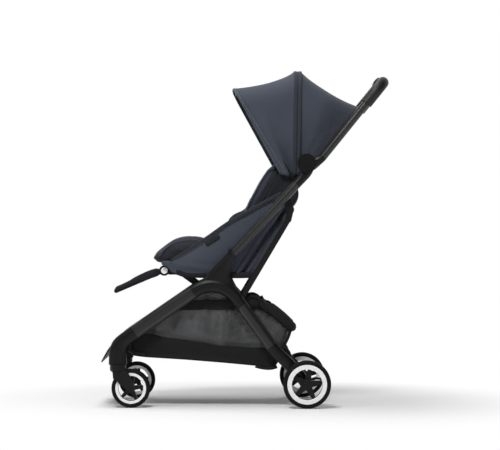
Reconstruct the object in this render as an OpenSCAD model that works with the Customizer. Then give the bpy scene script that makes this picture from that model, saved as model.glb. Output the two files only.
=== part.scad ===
/* Compact folding baby stroller. Millimetres, +Z up, the front points to -X and
   the rear to +X. The origin is on the floor under the middle of the footprint. */

/* [Overall] */
// Width over the two rear tyres
overall_w = 456; // [446:2:480]
// Distance between the front and rear wheel axles
wheelbase = 544; // [530:2:560]
// Rear axle, measured back from the origin
rear_axle_x = 188.5; // [180:0.5:196]

/* [Wheels] */
// Diameter of the front tyres
front_tyre_d = 120; // [112:2:124]
// Width of the front tyres
front_tyre_w = 24; // [20:1:26]
// Diameter of the rear tyres
rear_tyre_d = 148; // [140:2:154]
// Width of the rear tyres
rear_tyre_w = 27; // [24:1:27]
// Number of spokes in each wheel
spoke_count = 5; // [4:1:7]
// Distance from the swivel axis back to the front axle
caster_trail = 40; // [36:1:44]
// Diameter of the wheel axles
axle_d = 8; // [6:0.5:10]

/* [Frame] */
// Height of the centre of the arch's curve
arch_h = 281.7; // [278:0.5:286]
// Radius of the arch's centre line
arch_r = 95; // [92:1:98]
// Slope of the front leg below the horizontal
front_leg_a = 34.5; // [33.5:0.5:35.5]
// Slope of the rear leg below the horizontal
rear_leg_a = 53.8; // [53:0.2:55]
// Height of the oval leg tubes
leg_h = 42; // [40:1:44]
// Width of the oval leg tubes
leg_w = 27; // [25:0.5:27]
// Height of the rear leg tubes
rear_leg_h = 38; // [36:1:40]
// Diameter of the upper side tubes
upper_d = 28; // [26:0.5:28]
// Slope of the upper side tubes
upper_a = 47.6; // [47:0.2:48.4]
// Length of the upper side tubes
upper_len = 290; // [284:1:294]
// Wall thickness of the tubes
tube_wall = 1.8; // [1.4:0.1:2.4]
// Diameter of the hinge pins
hinge_pin_d = 5; // [4:0.5:6]

/* [Handle] */
// Diameter of the handlebar tube
handle_d = 25; // [23:0.5:25]
// Diameter of the grip
grip_d = 37; // [34:0.5:38]
// Diameter of the round cap over the handle hinge
cap_d = 59; // [54:1:60]
// Length of the handlebar from its bracket to the crossbar
handle_len = 301; // [290:1:306]
// Corner radius of the handlebar
handle_corner_r = 48; // [42:1:56]
// Width of the release console on the crossbar
console_w = 64; // [56:1:76]

/* [Seat] */
// Distance from the inside of the legs to the seat's side panels
seat_inset = 19; // [17:0.5:24]
// Depth of the flat seat cushion
seat_d = 184; // [176:2:186]
// Slope of the backrest
back_a = 62; // [60:0.5:65]
// Length of the backrest
back_len = 384; // [350:2:390]
// Thickness of the backrest pad
back_t = 26; // [18:1:28]
// Distance from the side panels to the edges of the backrest pad
back_inset = 30; // [29:1:45]
// Length of the leg rest
legrest_len = 172; // [160:1:176]
// Slope of the raised leg rest below the horizontal
legrest_a = 23; // [20:1:28]
// Thickness of the fabric skins
cloth_t = 2.4; // [2:0.1:3]

/* [Canopy] */
// Length of the canopy bows
bow_r = 352; // [340:1:356]
// Distance from the handle's tubes to the outside of the canopy's fabric
canopy_inset = 3.5; // [2.5:0.5:11]
// Direction of the open front bow, from the rear horizontal
bow_front_a = 122.8; // [120:0.2:125]
// Direction of the open middle bow
bow_mid_a = 89; // [86:0.5:91]
// Direction of the canopy's rear edge
bow_rear_a = 54; // [52:0.5:56]

/* [Basket] */
// Distance from the inside of the legs to the basket's walls
basket_inset = 24; // [19:1:34]
// Thickness of the basket's cloth
basket_t = 3; // [2.4:0.2:4]

/* [Hidden] */
$fn = 48;

// Small gaps: between a shaft and its hole, between moving faces, and seam to seam.
fit = 0.05;
gap = 0.4;
seam = 0.3;

// Side layers, measured outward from the middle plane.
leg_y = overall_w / 2 - rear_tyre_w - 4.5 - leg_w / 2 - 0.5;
leg_in = leg_y - leg_w / 2;
leg_out = leg_y + leg_w / 2;
link_t = 5.4;
link_y = leg_in - 0.9 - link_t / 2;
handle_y = link_y - link_t / 2 - 1.2 - handle_d / 2;
handle_in = handle_y - handle_d / 2;
canopy_w = 2 * (handle_in - canopy_inset);
seat_w = 2 * (leg_in - seat_inset);
back_w = seat_w - 2 * back_inset;
basket_w = 2 * (leg_in - basket_inset);
bow_t = 2.6;
bow_front_y = canopy_w / 2 - cloth_t - seam - bow_t / 2;
bow_mid_y = bow_front_y - bow_t - 0.5;
canopy_pin_d = 8;
wheel_y = overall_w / 2 - rear_tyre_w / 2;

// Points on the side view, as [x, z].
function dir(a) = [cos(a), sin(a)];
function side(a) = [-sin(a), cos(a)];
function xz(p, y = 0) = [p[0], y, p[1]];

front_dir = dir(180 + front_leg_a);
rear_dir = dir(-rear_leg_a);
upper_dir = dir(upper_a);
arch_c = [-105.3, arch_h];
arch_front = arch_c + arch_r * dir(90 + front_leg_a);
arch_rear = arch_c + arch_r * dir(90 - rear_leg_a);
front_seam = arch_front + 6 * front_dir;
rear_seam = arch_rear + 27 * rear_dir;

rear_axle_p = [rear_axle_x, rear_tyre_d / 2];
front_axle_p = [rear_axle_x - wheelbase, front_tyre_d / 2];
swivel_x = front_axle_p[0] - caster_trail;
swivel_top = 133;
front_leg_len = (front_seam[0] - (swivel_x + 52)) / cos(front_leg_a);
front_leg_end = front_seam + front_leg_len * front_dir;
rear_leg_len = (rear_seam[1] - 190) / sin(rear_leg_a);
rear_leg_end = rear_seam + rear_leg_len * rear_dir;

upper_base = [-38.6, 476.7];
upper_end = upper_base + upper_len * upper_dir;
fold_p = upper_base + (upper_d / 2 - 1) * side(upper_a);
rear_hinge_p = rear_seam - (rear_leg_h / 2 - 1) * side(-rear_leg_a);
cap_p = upper_end + 68.8 * dir(upper_a) + 20.4 * side(upper_a);

handle_a = 51.1;
handle_dir = dir(handle_a);
handle_base = cap_p + 50.5 * handle_dir - 27 * side(handle_a);
canopy_p = cap_p + [-30, -58];

link_low = arch_rear + [18.6, 4.2];
link_top = [126, 654];
seat_pivot = front_seam + 31 * dir(front_leg_a) - 12 * side(front_leg_a);
legrest_p = [-253.9, 423.3];
rail_z = 417;
rail_d = 14;
rail_y = seat_w / 2 - 38;
seat_z = rail_z + rail_d / 2 + seam;
back_pivot = [-54, rail_z];

// ---------- helpers ----------

// Closed skin through a row of equal rings.
module skin(rings) {
    m = len(rings[0]);
    n = len(rings);
    pts = [for (r = rings) each r];
    sides = [for (i = [0:n - 2], j = [0:m - 1])
        let (a = i * m + j, b = i * m + (j + 1) % m)
        each [[a, b, a + m], [b, b + m, a + m]]];
    low = [for (j = [1:m - 2]) [0, j + 1, j]];
    high = [for (j = [1:m - 2]) [(n - 1) * m, (n - 1) * m + j, (n - 1) * m + j + 1]];
    polyhedron(points = pts, faces = concat(sides, low, high));
}

function bez(p, t) = pow(1 - t, 3) * p[0] + 3 * t * pow(1 - t, 2) * p[1]
    + 3 * t * t * (1 - t) * p[2] + pow(t, 3) * p[3];

function sgnpow(v, e) = sign(v) * pow(abs(v), e);

// Ring between the points a and b of the side view, with rounded flat sides.
function side_ring(a, b, y, half, power, m) = [for (j = [0:m - 1])
    let (c = sgnpow(cos(360 * j / m), 2 / power), s = sgnpow(sin(360 * j / m), 2 / power))
    xz((a + b) / 2 + c * (b - a) / 2, y + half * s)];

// Moulded shape between two curved edges of the side view.
module moulding(edge_a, edge_b, y, halves, power = 2.6, n = 12, m = 20) {
    skin([for (i = [0:n])
        let (t = i / n, half = halves[0] + (halves[1] - halves[0]) * t)
        side_ring(bez(edge_a, t), bez(edge_b, t), y, half, power, m)]);
}

// Turns the XY plane into the side view: x stays, y becomes z, height runs along +Y from y.
module side_slab(y, t) {
    translate([0, y + t, 0]) rotate([90, 0, 0]) linear_extrude(t) children();
}

// Round bar across the object at the side-view point p, from y1 to y2.
module cross_bar(p, d, y1, y2) {
    translate([p[0], min(y1, y2), p[1]]) rotate([-90, 0, 0]) cylinder(d = d, h = abs(y2 - y1));
}

// Frame of a tube: local +Z runs along the direction a of the side view, local +X stays in it.
module along(p, a, y) {
    translate([p[0], y, p[1]]) rotate([0, 90 - a, 0]) children();
}

// Oval section, with its long side h along x.
module oval(h, w) {
    square([h - w, w], center = true);
    for (s = [-1, 1]) translate([s * (h - w) / 2, 0]) circle(d = w);
}

// U of round tube in the XY plane: a crosspiece at x = len and two legs at y = +-half.
module u_tube(len, half, corner, d, leg) {
    for (s = [-1, 1]) {
        translate([len - corner, s * (half - corner), 0])
            rotate([0, 0, s > 0 ? 0 : -90]) rotate_extrude(angle = 90, $fn = 64)
            translate([corner, 0]) circle(d = d);
        translate([len - corner - leg, s * half, 0]) rotate([0, 90, 0]) cylinder(d = d, h = leg);
    }
    translate([len, -(half - corner), 0]) rotate([-90, 0, 0]) cylinder(d = d, h = 2 * (half - corner));
}

module oval_tube(h, w, len) {
    linear_extrude(len) difference() {
        oval(h, w);
        oval(h - 2 * tube_wall, w - 2 * tube_wall);
    }
}

// Plug that fits the bore of an oval tube; it starts 1 mm inside the piece that carries it.
module oval_plug(h, w, len) {
    translate([0, 0, -1]) linear_extrude(len + 1) oval(h - 2 * tube_wall - 0.2, w - 2 * tube_wall - 0.2);
}

module both_sides() {
    for (s = [-1, 1]) scale([1, s, 1]) children();
}

// Bar with round ends from p to q in the side view, w wide and t thick about y.
// Its flanks lie a hair inside the round ends, so that no face is tangent to another.
link_step = 0.06;

module flat_link(p, q, w, y, t) {
    d = q - p;
    side_slab(y - t / 2, t) {
        translate(p) circle(d = w);
        translate(q) circle(d = w);
        translate(p) rotate(atan2(d[1], d[0])) translate([0, link_step - w / 2]) square([norm(d), w - 2 * link_step]);
    }
}

// ---------- hinge knuckles ----------
// The outer two thirds of a leg's width belong to the upper casting, the middle third to the tube.

knuckle_r = 6.5;

module knuckle_ears(p, y) {
    for (s = [-1, 1]) {
        y1 = y + s * (leg_w / 6 + gap / 2);
        y2 = y + s * leg_w / 2;
        cross_bar(p, 2 * knuckle_r, y1, y2);
    }
}

module knuckle_tongue(p, y) {
    cross_bar(p, 2 * knuckle_r, y - leg_w / 6 + gap / 2, y + leg_w / 6 - gap / 2);
}

module tongue_room(p, y) {
    cross_bar(p, 2 * (knuckle_r + gap), y - leg_w / 6 - gap / 2, y + leg_w / 6 + gap / 2);
}

module ear_room(p, y) {
    for (s = [-1, 1]) {
        cross_bar(p, 2 * (knuckle_r + gap), y + s * (leg_w / 6 - gap / 2), y + s * (leg_w / 2 + 1));
    }
}

module fold_pins() {
    color("silver") both_sides() {
        for (p = [fold_p, rear_hinge_p]) {
            cross_bar(p, hinge_pin_d, leg_in + 0.5, leg_out - 0.5);
        }
        cross_bar(link_low, hinge_pin_d, link_y - link_t / 2 - 0.5, leg_in + 8);
    }
}

// ---------- front frame ----------

module front_leg_tubes() {
    color("#2b2b2e") both_sides() {
        along(front_leg_end, front_leg_a, leg_y) {
            oval_tube(leg_h, leg_w, front_leg_len - seam);
        }
    }
}

module arch_body(y) {
    difference() {
        union() {
            translate([arch_c[0], y, arch_c[1]]) rotate([90, 0, 0])
                rotate([0, 0, 90 - rear_leg_a]) rotate_extrude(angle = rear_leg_a + front_leg_a, $fn = 96)
                translate([arch_r, 0]) oval(leg_h - 2, leg_w);
            along(front_seam, front_leg_a, y) {
                linear_extrude(10) oval(leg_h - 0.6, leg_w + 0.6);
                translate([0, 0, -22]) oval_plug(leg_h, leg_w, 23);
            }
            along(arch_rear - rear_dir, -rear_leg_a, y) linear_extrude(28 - seam) oval(rear_leg_h, leg_w);
            moulding(stem_rear, stem_front, y, [9, leg_w / 2 - 0.3], 2.3, 12, 20);
            knuckle_ears(fold_p, y);
            knuckle_ears(rear_hinge_p, y);
        }
        tongue_room(fold_p, y);
        tongue_room(rear_hinge_p, y);
        cross_bar(fold_p, hinge_pin_d + 2 * fit, y - leg_w, y + leg_w);
        cross_bar(rear_hinge_p, hinge_pin_d + 2 * fit, y - leg_w, y + leg_w);
        cross_bar(link_low, hinge_pin_d + 2 * fit, y - leg_w / 2 - 1, y - leg_w / 2 + 8.2);
    }
}

stem_top_a = upper_base + (upper_d / 2) * side(upper_a) - seam * upper_dir;
stem_top_b = upper_base - (upper_d / 2) * side(upper_a) - seam * upper_dir;
stem_front = [
    arch_c + (arch_r + 15) * dir(112),
    arch_c + (arch_r + 30) * dir(100),
    stem_top_a - 40 * upper_dir,
    stem_top_a
];
stem_rear = [
    arch_rear + (leg_h / 2 - 6) * dir(90 - rear_leg_a) + 4 * rear_dir,
    arch_rear + (leg_h / 2 - 1) * dir(90 - rear_leg_a) - 70 * rear_dir,
    stem_top_b - 46 * upper_dir,
    stem_top_b
];

module arches() { color("#262628") both_sides() arch_body(leg_y); }

crossbar_rear_p = arch_rear + 22 * rear_dir;
crossbar_rear_d = 14;

module arch_crossbar() {
    color("#232325") cross_bar(crossbar_rear_p, crossbar_rear_d, -leg_in + seam, leg_in - seam);
}

// Plates on the rear crossbar that follow the arch and carry the seat's pivots.
module seat_brackets() {
    plate_y = rail_y + 12;
    plate_t = 5;
    color("#232325") both_sides() difference() {
        union() {
            flat_link(crossbar_rear_p, arch_c + 88 * dir(62), 22, plate_y, plate_t);
            flat_link(arch_c + 88 * dir(62), seat_pivot, 16, plate_y, plate_t);
            cross_bar(crossbar_rear_p, crossbar_rear_d + 7, plate_y - 8, plate_y + 8);
        }
        cross_bar(crossbar_rear_p, crossbar_rear_d + 0.02, plate_y - 20, plate_y + 20);
        cross_bar(seat_pivot, hinge_pin_d + 2 * fit, plate_y - 20, plate_y + 20);
    }
}

// Lower casting: carries on the leg's line and turns down over the caster.
casting_w = 57;
casting_front = [
    front_leg_end + (leg_h / 2) * side(front_leg_a),
    front_leg_end + (leg_h / 2) * side(front_leg_a) + 72 * front_dir,
    [swivel_x - casting_w / 2, swivel_top + 74],
    [swivel_x - casting_w / 2, swivel_top]
];
casting_rear = [
    front_leg_end - (leg_h / 2) * side(front_leg_a),
    front_leg_end - (leg_h / 2) * side(front_leg_a) + 40 * front_dir,
    [swivel_x + casting_w / 2 - 7, swivel_top + 70],
    [swivel_x + casting_w / 2, swivel_top]
];

module casting_body(y) {
    difference() {
        union() {
            moulding(casting_front, casting_rear, y, [leg_w / 2, leg_w / 2 + 2], 2.5, 14, 20);
            along(front_leg_end, front_leg_a, y) oval_plug(leg_h, leg_w, 24);
        }
        translate([swivel_x, y, swivel_top - 1]) cylinder(d = 10 + 2 * fit, h = 46);
        cross_bar(crossbar_p, crossbar_d + 2 * fit, y - 30, y - 4);
    }
}

crossbar_d = 22;
crossbar_p = [swivel_x + 3, swivel_top + 56];

module leg_castings() { color("#1b1b1c") both_sides() casting_body(leg_y); }

module front_crossbar() {
    color("#232325") cross_bar(crossbar_p, crossbar_d, -leg_y + 4.2, leg_y - 4.2);
}

plate_w = 2 * (leg_in - 6);
module footplate() {
    plate_top = crossbar_p + [-5, 13.5];
    plate_edge = [swivel_x - casting_w / 2 - 26, swivel_top + 6];
    top_edge = [plate_top, plate_top + [-20, 1], plate_edge + [18, 34], plate_edge + [1, 2]];
    low_edge = [plate_top + [1, -5], plate_top + [-19, -4], plate_edge + [21, 28], plate_edge + [3, -1]];
    color("#1d1d1e") difference() {
        union() {
            side_slab(-plate_w / 2, plate_w) {
                polygon(concat([for (i = [0:8]) bez(top_edge, i / 8)], [for (i = [8:-1:0]) bez(low_edge, i / 8)]));
            }
            for (s = [-1, 1]) {
                translate([0, s * plate_w / 3, 0]) cross_bar(crossbar_p, crossbar_d + 8, -14, 14);
            }
        }
        cross_bar(crossbar_p, crossbar_d + 0.1, -plate_w, plate_w);
    }
}

// ---------- casters ----------

module caster_pins() {
    color("silver") both_sides() {
        translate([swivel_x, leg_y, swivel_top - 22]) cylinder(d = 10, h = 60);
    }
}

front_wheel_y = leg_y - 3;
fork_in = front_wheel_y + front_tyre_w / 2 + 2;
fork_out = fork_in + 7;

module fork_body() {
    top = swivel_top - 0.6;
    difference() {
        union() {
            translate([swivel_x, leg_y, top - 17]) cylinder(d = 50, h = 17);
            translate([swivel_x, leg_y, top - 24]) cylinder(d1 = 34, d2 = 50, h = 7.05, $fn = 64);
            side_slab(fork_in, fork_out - fork_in) polygon([
                [swivel_x - 17, top - 10], [swivel_x + 17, top - 10],
                [swivel_x + 34, top - 26], front_axle_p + [13, 6],
                front_axle_p + [8, -9], front_axle_p + [-9, -8],
                [swivel_x + 6, top - 58], [swivel_x - 14, top - 42]
            ]);
            cross_bar(front_axle_p, 26, fork_in, fork_out);
            cross_bar([swivel_x + 9, top - 38], 15, fork_in - 1.5, fork_out + 1.5);
            side_slab(leg_y - 4, fork_in - leg_y + 5) polygon([
                [swivel_x - 15, top - 8], [swivel_x + 15, top - 8],
                [swivel_x + 15, top - 17], [swivel_x - 15, top - 17]
            ]);
        }
        translate([swivel_x, leg_y, top - 30]) cylinder(d = 10 + 2 * fit, h = 40);
        cross_bar(front_axle_p, axle_d + 2 * fit, fork_in - 5, fork_out + 5);
        cross_bar(front_axle_p, front_tyre_d + 5, front_wheel_y - front_tyre_w / 2 - 3, fork_in - 0.01);
    }
}

module caster_fork_left() { color("#1b1b1c") scale([1, -1, 1]) fork_body(); }
module caster_fork_right() { color("#1b1b1c") fork_body(); }

// ---------- wheels ----------

// Tyre with a rounded tread, centred on its axle along Y.
module tyre_body(d, w, bead_d) {
    rotate([90, 0, 0]) rotate_extrude($fn = 96) difference() {
        translate([bead_d / 2, -w / 2]) union() {
            square([d / 2 - bead_d / 2 - w * 0.28, w]);
            translate([0, w * 0.28]) square([d / 2 - bead_d / 2, w * 0.44]);
            for (t = [0.28, 0.72]) {
                translate([d / 2 - bead_d / 2 - w * 0.28, w * t]) circle(r = w * 0.28);
            }
        }
        translate([0, -w]) square([bead_d / 2, 2 * w]);
    }
}

// Rim with hub and tapering spokes.
module rim_body(out_d, in_d, w, hub_d, hub_w) {
    rotate([90, 0, 0]) difference() {
        union() {
            rotate_extrude($fn = 96) {
                translate([in_d / 2, -w / 2 + 3.2]) square([out_d / 2 - in_d / 2, w - 6.4]);
            }
            cylinder(d = hub_d, h = hub_w, center = true);
            for (i = [0:spoke_count - 1]) rotate([0, 0, 360 / spoke_count * i + 8]) {
                translate([0, 0, -w * 0.2]) linear_extrude(w * 0.4) polygon([
                    [hub_d / 2 - 2, -hub_d * 0.30], [in_d / 2 + 1, -hub_d * 0.17],
                    [in_d / 2 + 1, hub_d * 0.17], [hub_d / 2 - 2, hub_d * 0.30]
                ]);
            }
        }
        cylinder(d = axle_d + 2 * fit, h = 2 * w, center = true);
    }
}

// Bright ring pressed on both faces of a rim.
module ring_body(out_d, in_d, w) {
    rotate([90, 0, 0]) for (s = [-1, 1]) {
        translate([0, 0, s * (w / 2 - 1.6)]) rotate_extrude($fn = 96) {
            translate([in_d / 2, -1.6]) square([(out_d - in_d) / 2, 3.2]);
        }
    }
}

front_rim_d = front_tyre_d - 25;
front_ring_in = front_rim_d - 17;
rear_hub_w = rear_tyre_w - 5;
rear_rim_d = rear_tyre_d - 26;
rear_ring_in = rear_rim_d - 28;

module front_at(s) { translate([front_axle_p[0], s * front_wheel_y, front_axle_p[1]]) children(); }
module rear_at(s) { translate([rear_axle_p[0], s * wheel_y, rear_axle_p[1]]) children(); }

module front_tyre_left() { color("#101011") front_at(-1) tyre_body(front_tyre_d, front_tyre_w, front_rim_d); }
module front_tyre_right() { color("#101011") front_at(1) tyre_body(front_tyre_d, front_tyre_w, front_rim_d); }
module rear_tyre_left() { color("#101011") rear_at(-1) tyre_body(rear_tyre_d, rear_tyre_w, rear_rim_d); }
module rear_tyre_right() { color("#101011") rear_at(1) tyre_body(rear_tyre_d, rear_tyre_w, rear_rim_d); }

module front_rim() { rim_body(front_rim_d, front_ring_in, front_tyre_w, 25, front_tyre_w + 2); }
module rear_rim() { rim_body(rear_rim_d, rear_ring_in, rear_tyre_w, 34, rear_hub_w); }
module front_rim_left() { color("#1a1a1b") front_at(-1) front_rim(); }
module front_rim_right() { color("#1a1a1b") front_at(1) front_rim(); }
module rear_rim_left() { color("#1a1a1b") rear_at(-1) rear_rim(); }
module rear_rim_right() { color("#1a1a1b") rear_at(1) rear_rim(); }

module front_ring_left() { color("white") front_at(-1) ring_body(front_rim_d, front_ring_in, front_tyre_w); }
module front_ring_right() { color("white") front_at(1) ring_body(front_rim_d, front_ring_in, front_tyre_w); }
module rear_ring_left() { color("white") rear_at(-1) ring_body(rear_rim_d, rear_ring_in, rear_tyre_w); }
module rear_ring_right() { color("white") rear_at(1) ring_body(rear_rim_d, rear_ring_in, rear_tyre_w); }

module front_axle() {
    cross_bar(front_axle_p, axle_d, front_wheel_y - front_tyre_w / 2 - 3, fork_out + 1);
    cross_bar(front_axle_p, axle_d + 6, front_wheel_y - front_tyre_w / 2 - 3, front_wheel_y - front_tyre_w / 2 - 1.4);
}
module front_axle_left() { color("silver") scale([1, -1, 1]) front_axle(); }
module front_axle_right() { color("silver") front_axle(); }

// ---------- rear frame ----------

module rear_legs() {
    color("#2b2b2e") both_sides() difference() {
        union() {
            along(rear_leg_end, -rear_leg_a, leg_y) rotate([180, 0, 0]) {
                oval_tube(rear_leg_h, leg_w, rear_leg_len - seam);
            }
            along(rear_seam + 8 * rear_dir, -rear_leg_a, leg_y) {
                translate([0, 0, -8 + seam]) linear_extrude(8) oval(rear_leg_h - 1, leg_w - 1);
            }
            knuckle_tongue(rear_hinge_p, leg_y);
        }
        ear_room(rear_hinge_p, leg_y);
        cross_bar(rear_hinge_p, hinge_pin_d + 2 * fit, leg_in - 5, leg_out + 5);
    }
}

bracket_front = [
    rear_leg_end - (rear_leg_h / 2) * side(-rear_leg_a),
    rear_leg_end - (rear_leg_h / 2) * side(-rear_leg_a) + 46 * rear_dir,
    rear_axle_p + [-34, 22],
    rear_axle_p + [-17, -12]
];
bracket_rear = [
    rear_leg_end + (rear_leg_h / 2) * side(-rear_leg_a),
    rear_leg_end + (rear_leg_h / 2) * side(-rear_leg_a) + 40 * rear_dir,
    rear_axle_p + [6, 44],
    rear_axle_p + [17, -12]
];

module bracket_body(y) {
    difference() {
        union() {
            moulding(bracket_front, bracket_rear, y, [leg_w / 2, leg_w / 2 - 2], 2.6, 10, 20);
            along(rear_leg_end, -rear_leg_a, y) rotate([180, 0, 0]) oval_plug(rear_leg_h, leg_w, 24);
            cross_bar(rear_axle_p, 38, y - leg_w / 2 + 1, y + leg_w / 2 + 1);
        }
        cross_bar(rear_axle_p, axle_d + 2 * fit, y - 2 * leg_w, y + 2 * leg_w);
        cross_bar(rear_axle_p, axle_tube_d + 2 * fit, y - 2 * leg_w, y - 4);
    }
}

axle_tube_d = 20;

module rear_brackets() { color("#1b1b1c") both_sides() bracket_body(leg_y); }

module rear_axle() {
    color("silver") {
        cross_bar(rear_axle_p, axle_tube_d, -leg_y + 4.2, leg_y - 4.2);
        both_sides() cross_bar(rear_axle_p, axle_d, leg_y - 4.3, overall_w / 2 - 1.5);
        both_sides() cross_bar(rear_axle_p, axle_d + 8, wheel_y + rear_hub_w / 2 + gap, overall_w / 2);
        both_sides() cross_bar(rear_axle_p, axle_d + 8, leg_out + 1, wheel_y - rear_hub_w / 2 - gap);
    }
}

module brake_pedal() {
    pedal_y = -leg_in + 34;
    color("#1b1b1c") difference() {
        union() {
            cross_bar(rear_axle_p, axle_tube_d + 9, pedal_y - 20, pedal_y + 20);
            side_slab(pedal_y - 16, 32) polygon([
                rear_axle_p + [6, 10], rear_axle_p + [30, 18], rear_axle_p + [50, 14],
                rear_axle_p + [51, 9], rear_axle_p + [30, 11], rear_axle_p + [12, 1]
            ]);
        }
        cross_bar(rear_axle_p, axle_tube_d + 2 * fit, pedal_y - 30, pedal_y + 30);
    }
}

// ---------- upper frame ----------

module upper_tubes() {
    foot = 0.8;
    plug = 20;
    color("#2b2b2e") both_sides() difference() {
        union() {
            along(upper_base, upper_a, leg_y) {
                difference() {
                    translate([0, 0, foot]) cylinder(d = upper_d, h = upper_len - seam - foot);
                    translate([0, 0, plug]) cylinder(d = upper_d - 2 * tube_wall, h = upper_len);
                }
            }
            knuckle_tongue(fold_p, leg_y);
        }
        ear_room(fold_p, leg_y);
        cross_bar(fold_p, hinge_pin_d + 2 * fit, leg_in - 5, leg_out + 5);
    }
}

elbow_front = [
    upper_end + (upper_d / 2) * side(upper_a),
    upper_end + (upper_d / 2) * side(upper_a) + 16 * upper_dir,
    cap_p + [-19, -30],
    cap_p + [-19, -6]
];
elbow_rear = [
    upper_end - (upper_d / 2) * side(upper_a),
    upper_end - (upper_d / 2) * side(upper_a) + 34 * upper_dir,
    cap_p + [26, -32],
    cap_p + [22, -6]
];
hub_pin_d = 10;

module elbow_body(y) {
    difference() {
        union() {
            moulding(elbow_rear, elbow_front, y, [upper_d / 2, upper_d / 2 - 3], 2.2, 10, 20);
            along(upper_end, upper_a, y) translate([0, 0, -24]) cylinder(d = upper_d - 2 * tube_wall - 0.2, h = 25);
            cross_bar(cap_p, cap_d - 5, leg_in + 3, leg_out);
            cross_bar(cap_p, 26, handle_y + handle_d / 2 + seam, leg_in + 4);
        }
        cross_bar(cap_p, hub_pin_d + 2 * fit, handle_in - 10, leg_out + 10);
    }
}

module elbows() { color("#1d1d1e") both_sides() elbow_body(leg_y); }

module hinge_caps() {
    color("#161617") both_sides() {
        cross_bar(cap_p, cap_d, leg_out + 0.1, leg_out + 5);
        cross_bar(cap_p, cap_d - 8, leg_out + 4, leg_out + 7);
        cross_bar(cap_p, hub_pin_d, handle_in - 1, leg_out + 1);
        cross_bar(cap_p, hub_pin_d + 8, handle_in - 2.4, handle_in - 0.4);
    }
}

// ---------- handle ----------

// Local frame: +X along the handle from its base, +Y across, +Z square to both.
module handle_frame() {
    translate(xz(handle_base)) rotate([0, -handle_a, 0]) children();
}

module handle_bend(d, extra) {
    u_tube(handle_len, handle_y, handle_corner_r, d, extra);
}

module handlebar() {
    color("#2b2b2e") handle_frame() difference() {
        handle_bend(handle_d, handle_len - handle_corner_r);
        for (s = [-1, 1]) translate([-1, s * handle_y, 0]) rotate([0, 90, 0]) {
            cylinder(d = handle_d - 2 * tube_wall, h = handle_len - handle_corner_r - 60);
        }
    }
}

grip_side = 40;

module grip() {
    color("#141415") handle_frame() difference() {
        handle_bend(grip_d, grip_side);
        handle_bend(handle_d + 0.1, handle_len - handle_corner_r);
        translate([handle_len - 40, -console_w / 2 - seam, -40]) cube([80, console_w + 2 * seam, 80]);
    }
}

module release_console() {
    color("#1b1b1c") handle_frame() difference() {
        union() {
            translate([handle_len, -console_w / 2, 0]) rotate([-90, 0, 0]) cylinder(d = grip_d + 2, h = console_w);
            translate([handle_len - 12, -console_w / 2, 10]) cube([24, console_w, 12]);
        }
        translate([handle_len, -console_w, 0]) rotate([-90, 0, 0]) cylinder(d = handle_d + 0.1, h = 2 * console_w);
        translate([handle_len - 7, -20, 14]) cube([14, 40, 20]);
        translate([handle_len - 40, -25, -7]) cube([28, 50, 14]);
    }
}

module release_slider() {
    color("#3a3a3d") handle_frame() {
        translate([handle_len - 6.5, -18, 14.3]) cube([13, 28, 5.4]);
        for (i = [0:3]) translate([handle_len - 6.5, -15 + 7 * i, 19.6]) cube([13, 2.4, 3.8]);
    }
}

module release_trigger() {
    color("#2a2a2c") handle_frame() {
        translate([handle_len - 24, -24.5, -6.5]) cube([7, 49, 13]);
        translate([handle_len - 18, -20, -5]) cube([3, 40, 10]);
    }
}

bracket_low = [
    cap_p + 24 * dir(handle_a + 205),
    cap_p + [22, -22],
    handle_base - 20 * handle_dir - (handle_d / 2) * side(handle_a),
    handle_base - (handle_d / 2) * side(handle_a)
];
bracket_high = [
    cap_p + 24 * dir(handle_a + 30),
    cap_p + [30, 22],
    handle_base - 14 * handle_dir + (handle_d / 2) * side(handle_a),
    handle_base + (handle_d / 2) * side(handle_a)
];

module handle_bracket_body() {
    difference() {
        union() {
            moulding(bracket_low, bracket_high, handle_y, [handle_d / 2 - 1.5, handle_d / 2 - 0.2], 2.4, 8, 20);
            along(handle_base, handle_a, handle_y) translate([0, 0, -1]) cylinder(d = handle_d - 2 * tube_wall - 0.2, h = 27);
            cross_bar(cap_p, cap_d - 9, handle_in + 1, handle_y + handle_d / 2);
            flat_link(cap_p + [-4, -20], canopy_p, 18, handle_in + 1.5, 3);
        }
        cross_bar(cap_p, hub_pin_d + 2 * fit, handle_in - 10, leg_out);
    }
    cross_bar(canopy_p, canopy_pin_d, bow_mid_y - bow_t / 2 - 1, handle_in + 2);
}

module handle_brackets() {
    color("#1d1d1e") both_sides() handle_bracket_body();
}

// ---------- canopy ----------

bow_w = 9;
bow_corner = 70;

// Flat bow: two arms from the pivot and a rounded top, in a plane at the direction a.
module bow_body(a, r, half_w) {
    translate(xz(canopy_p)) rotate([0, -a, 0]) difference() {
        union() {
            for (s = [-1, 1]) {
                translate([0, s * half_w, 0]) rotate([90, 0, 0]) cylinder(d = 22, h = bow_t, center = true);
                translate([8, s * half_w - bow_t / 2, -bow_w / 2]) cube([r - bow_corner - 8, bow_t, bow_w]);
                translate([r - bow_corner, s * (half_w - bow_corner), -bow_w / 2])
                    rotate([0, 0, s > 0 ? 0 : -90]) rotate_extrude(angle = 90, $fn = 64)
                    translate([bow_corner - bow_t / 2, 0]) square([bow_t, bow_w]);
            }
            translate([r - bow_t / 2, -(half_w - bow_corner), -bow_w / 2]) cube([bow_t, 2 * (half_w - bow_corner), bow_w]);
        }
        rotate([90, 0, 0]) cylinder(d = canopy_pin_d + 2 * fit, h = 2 * half_w + 20, center = true);
    }
}

module bow_front() { color("#202022") bow_body(bow_front_a, bow_r - cloth_t - bow_t / 2 - 5.8, bow_front_y); }
module bow_mid() { color("#202022") bow_body(bow_mid_a, bow_r + 5 - cloth_t - bow_t / 2 - seam, bow_mid_y); }

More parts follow.
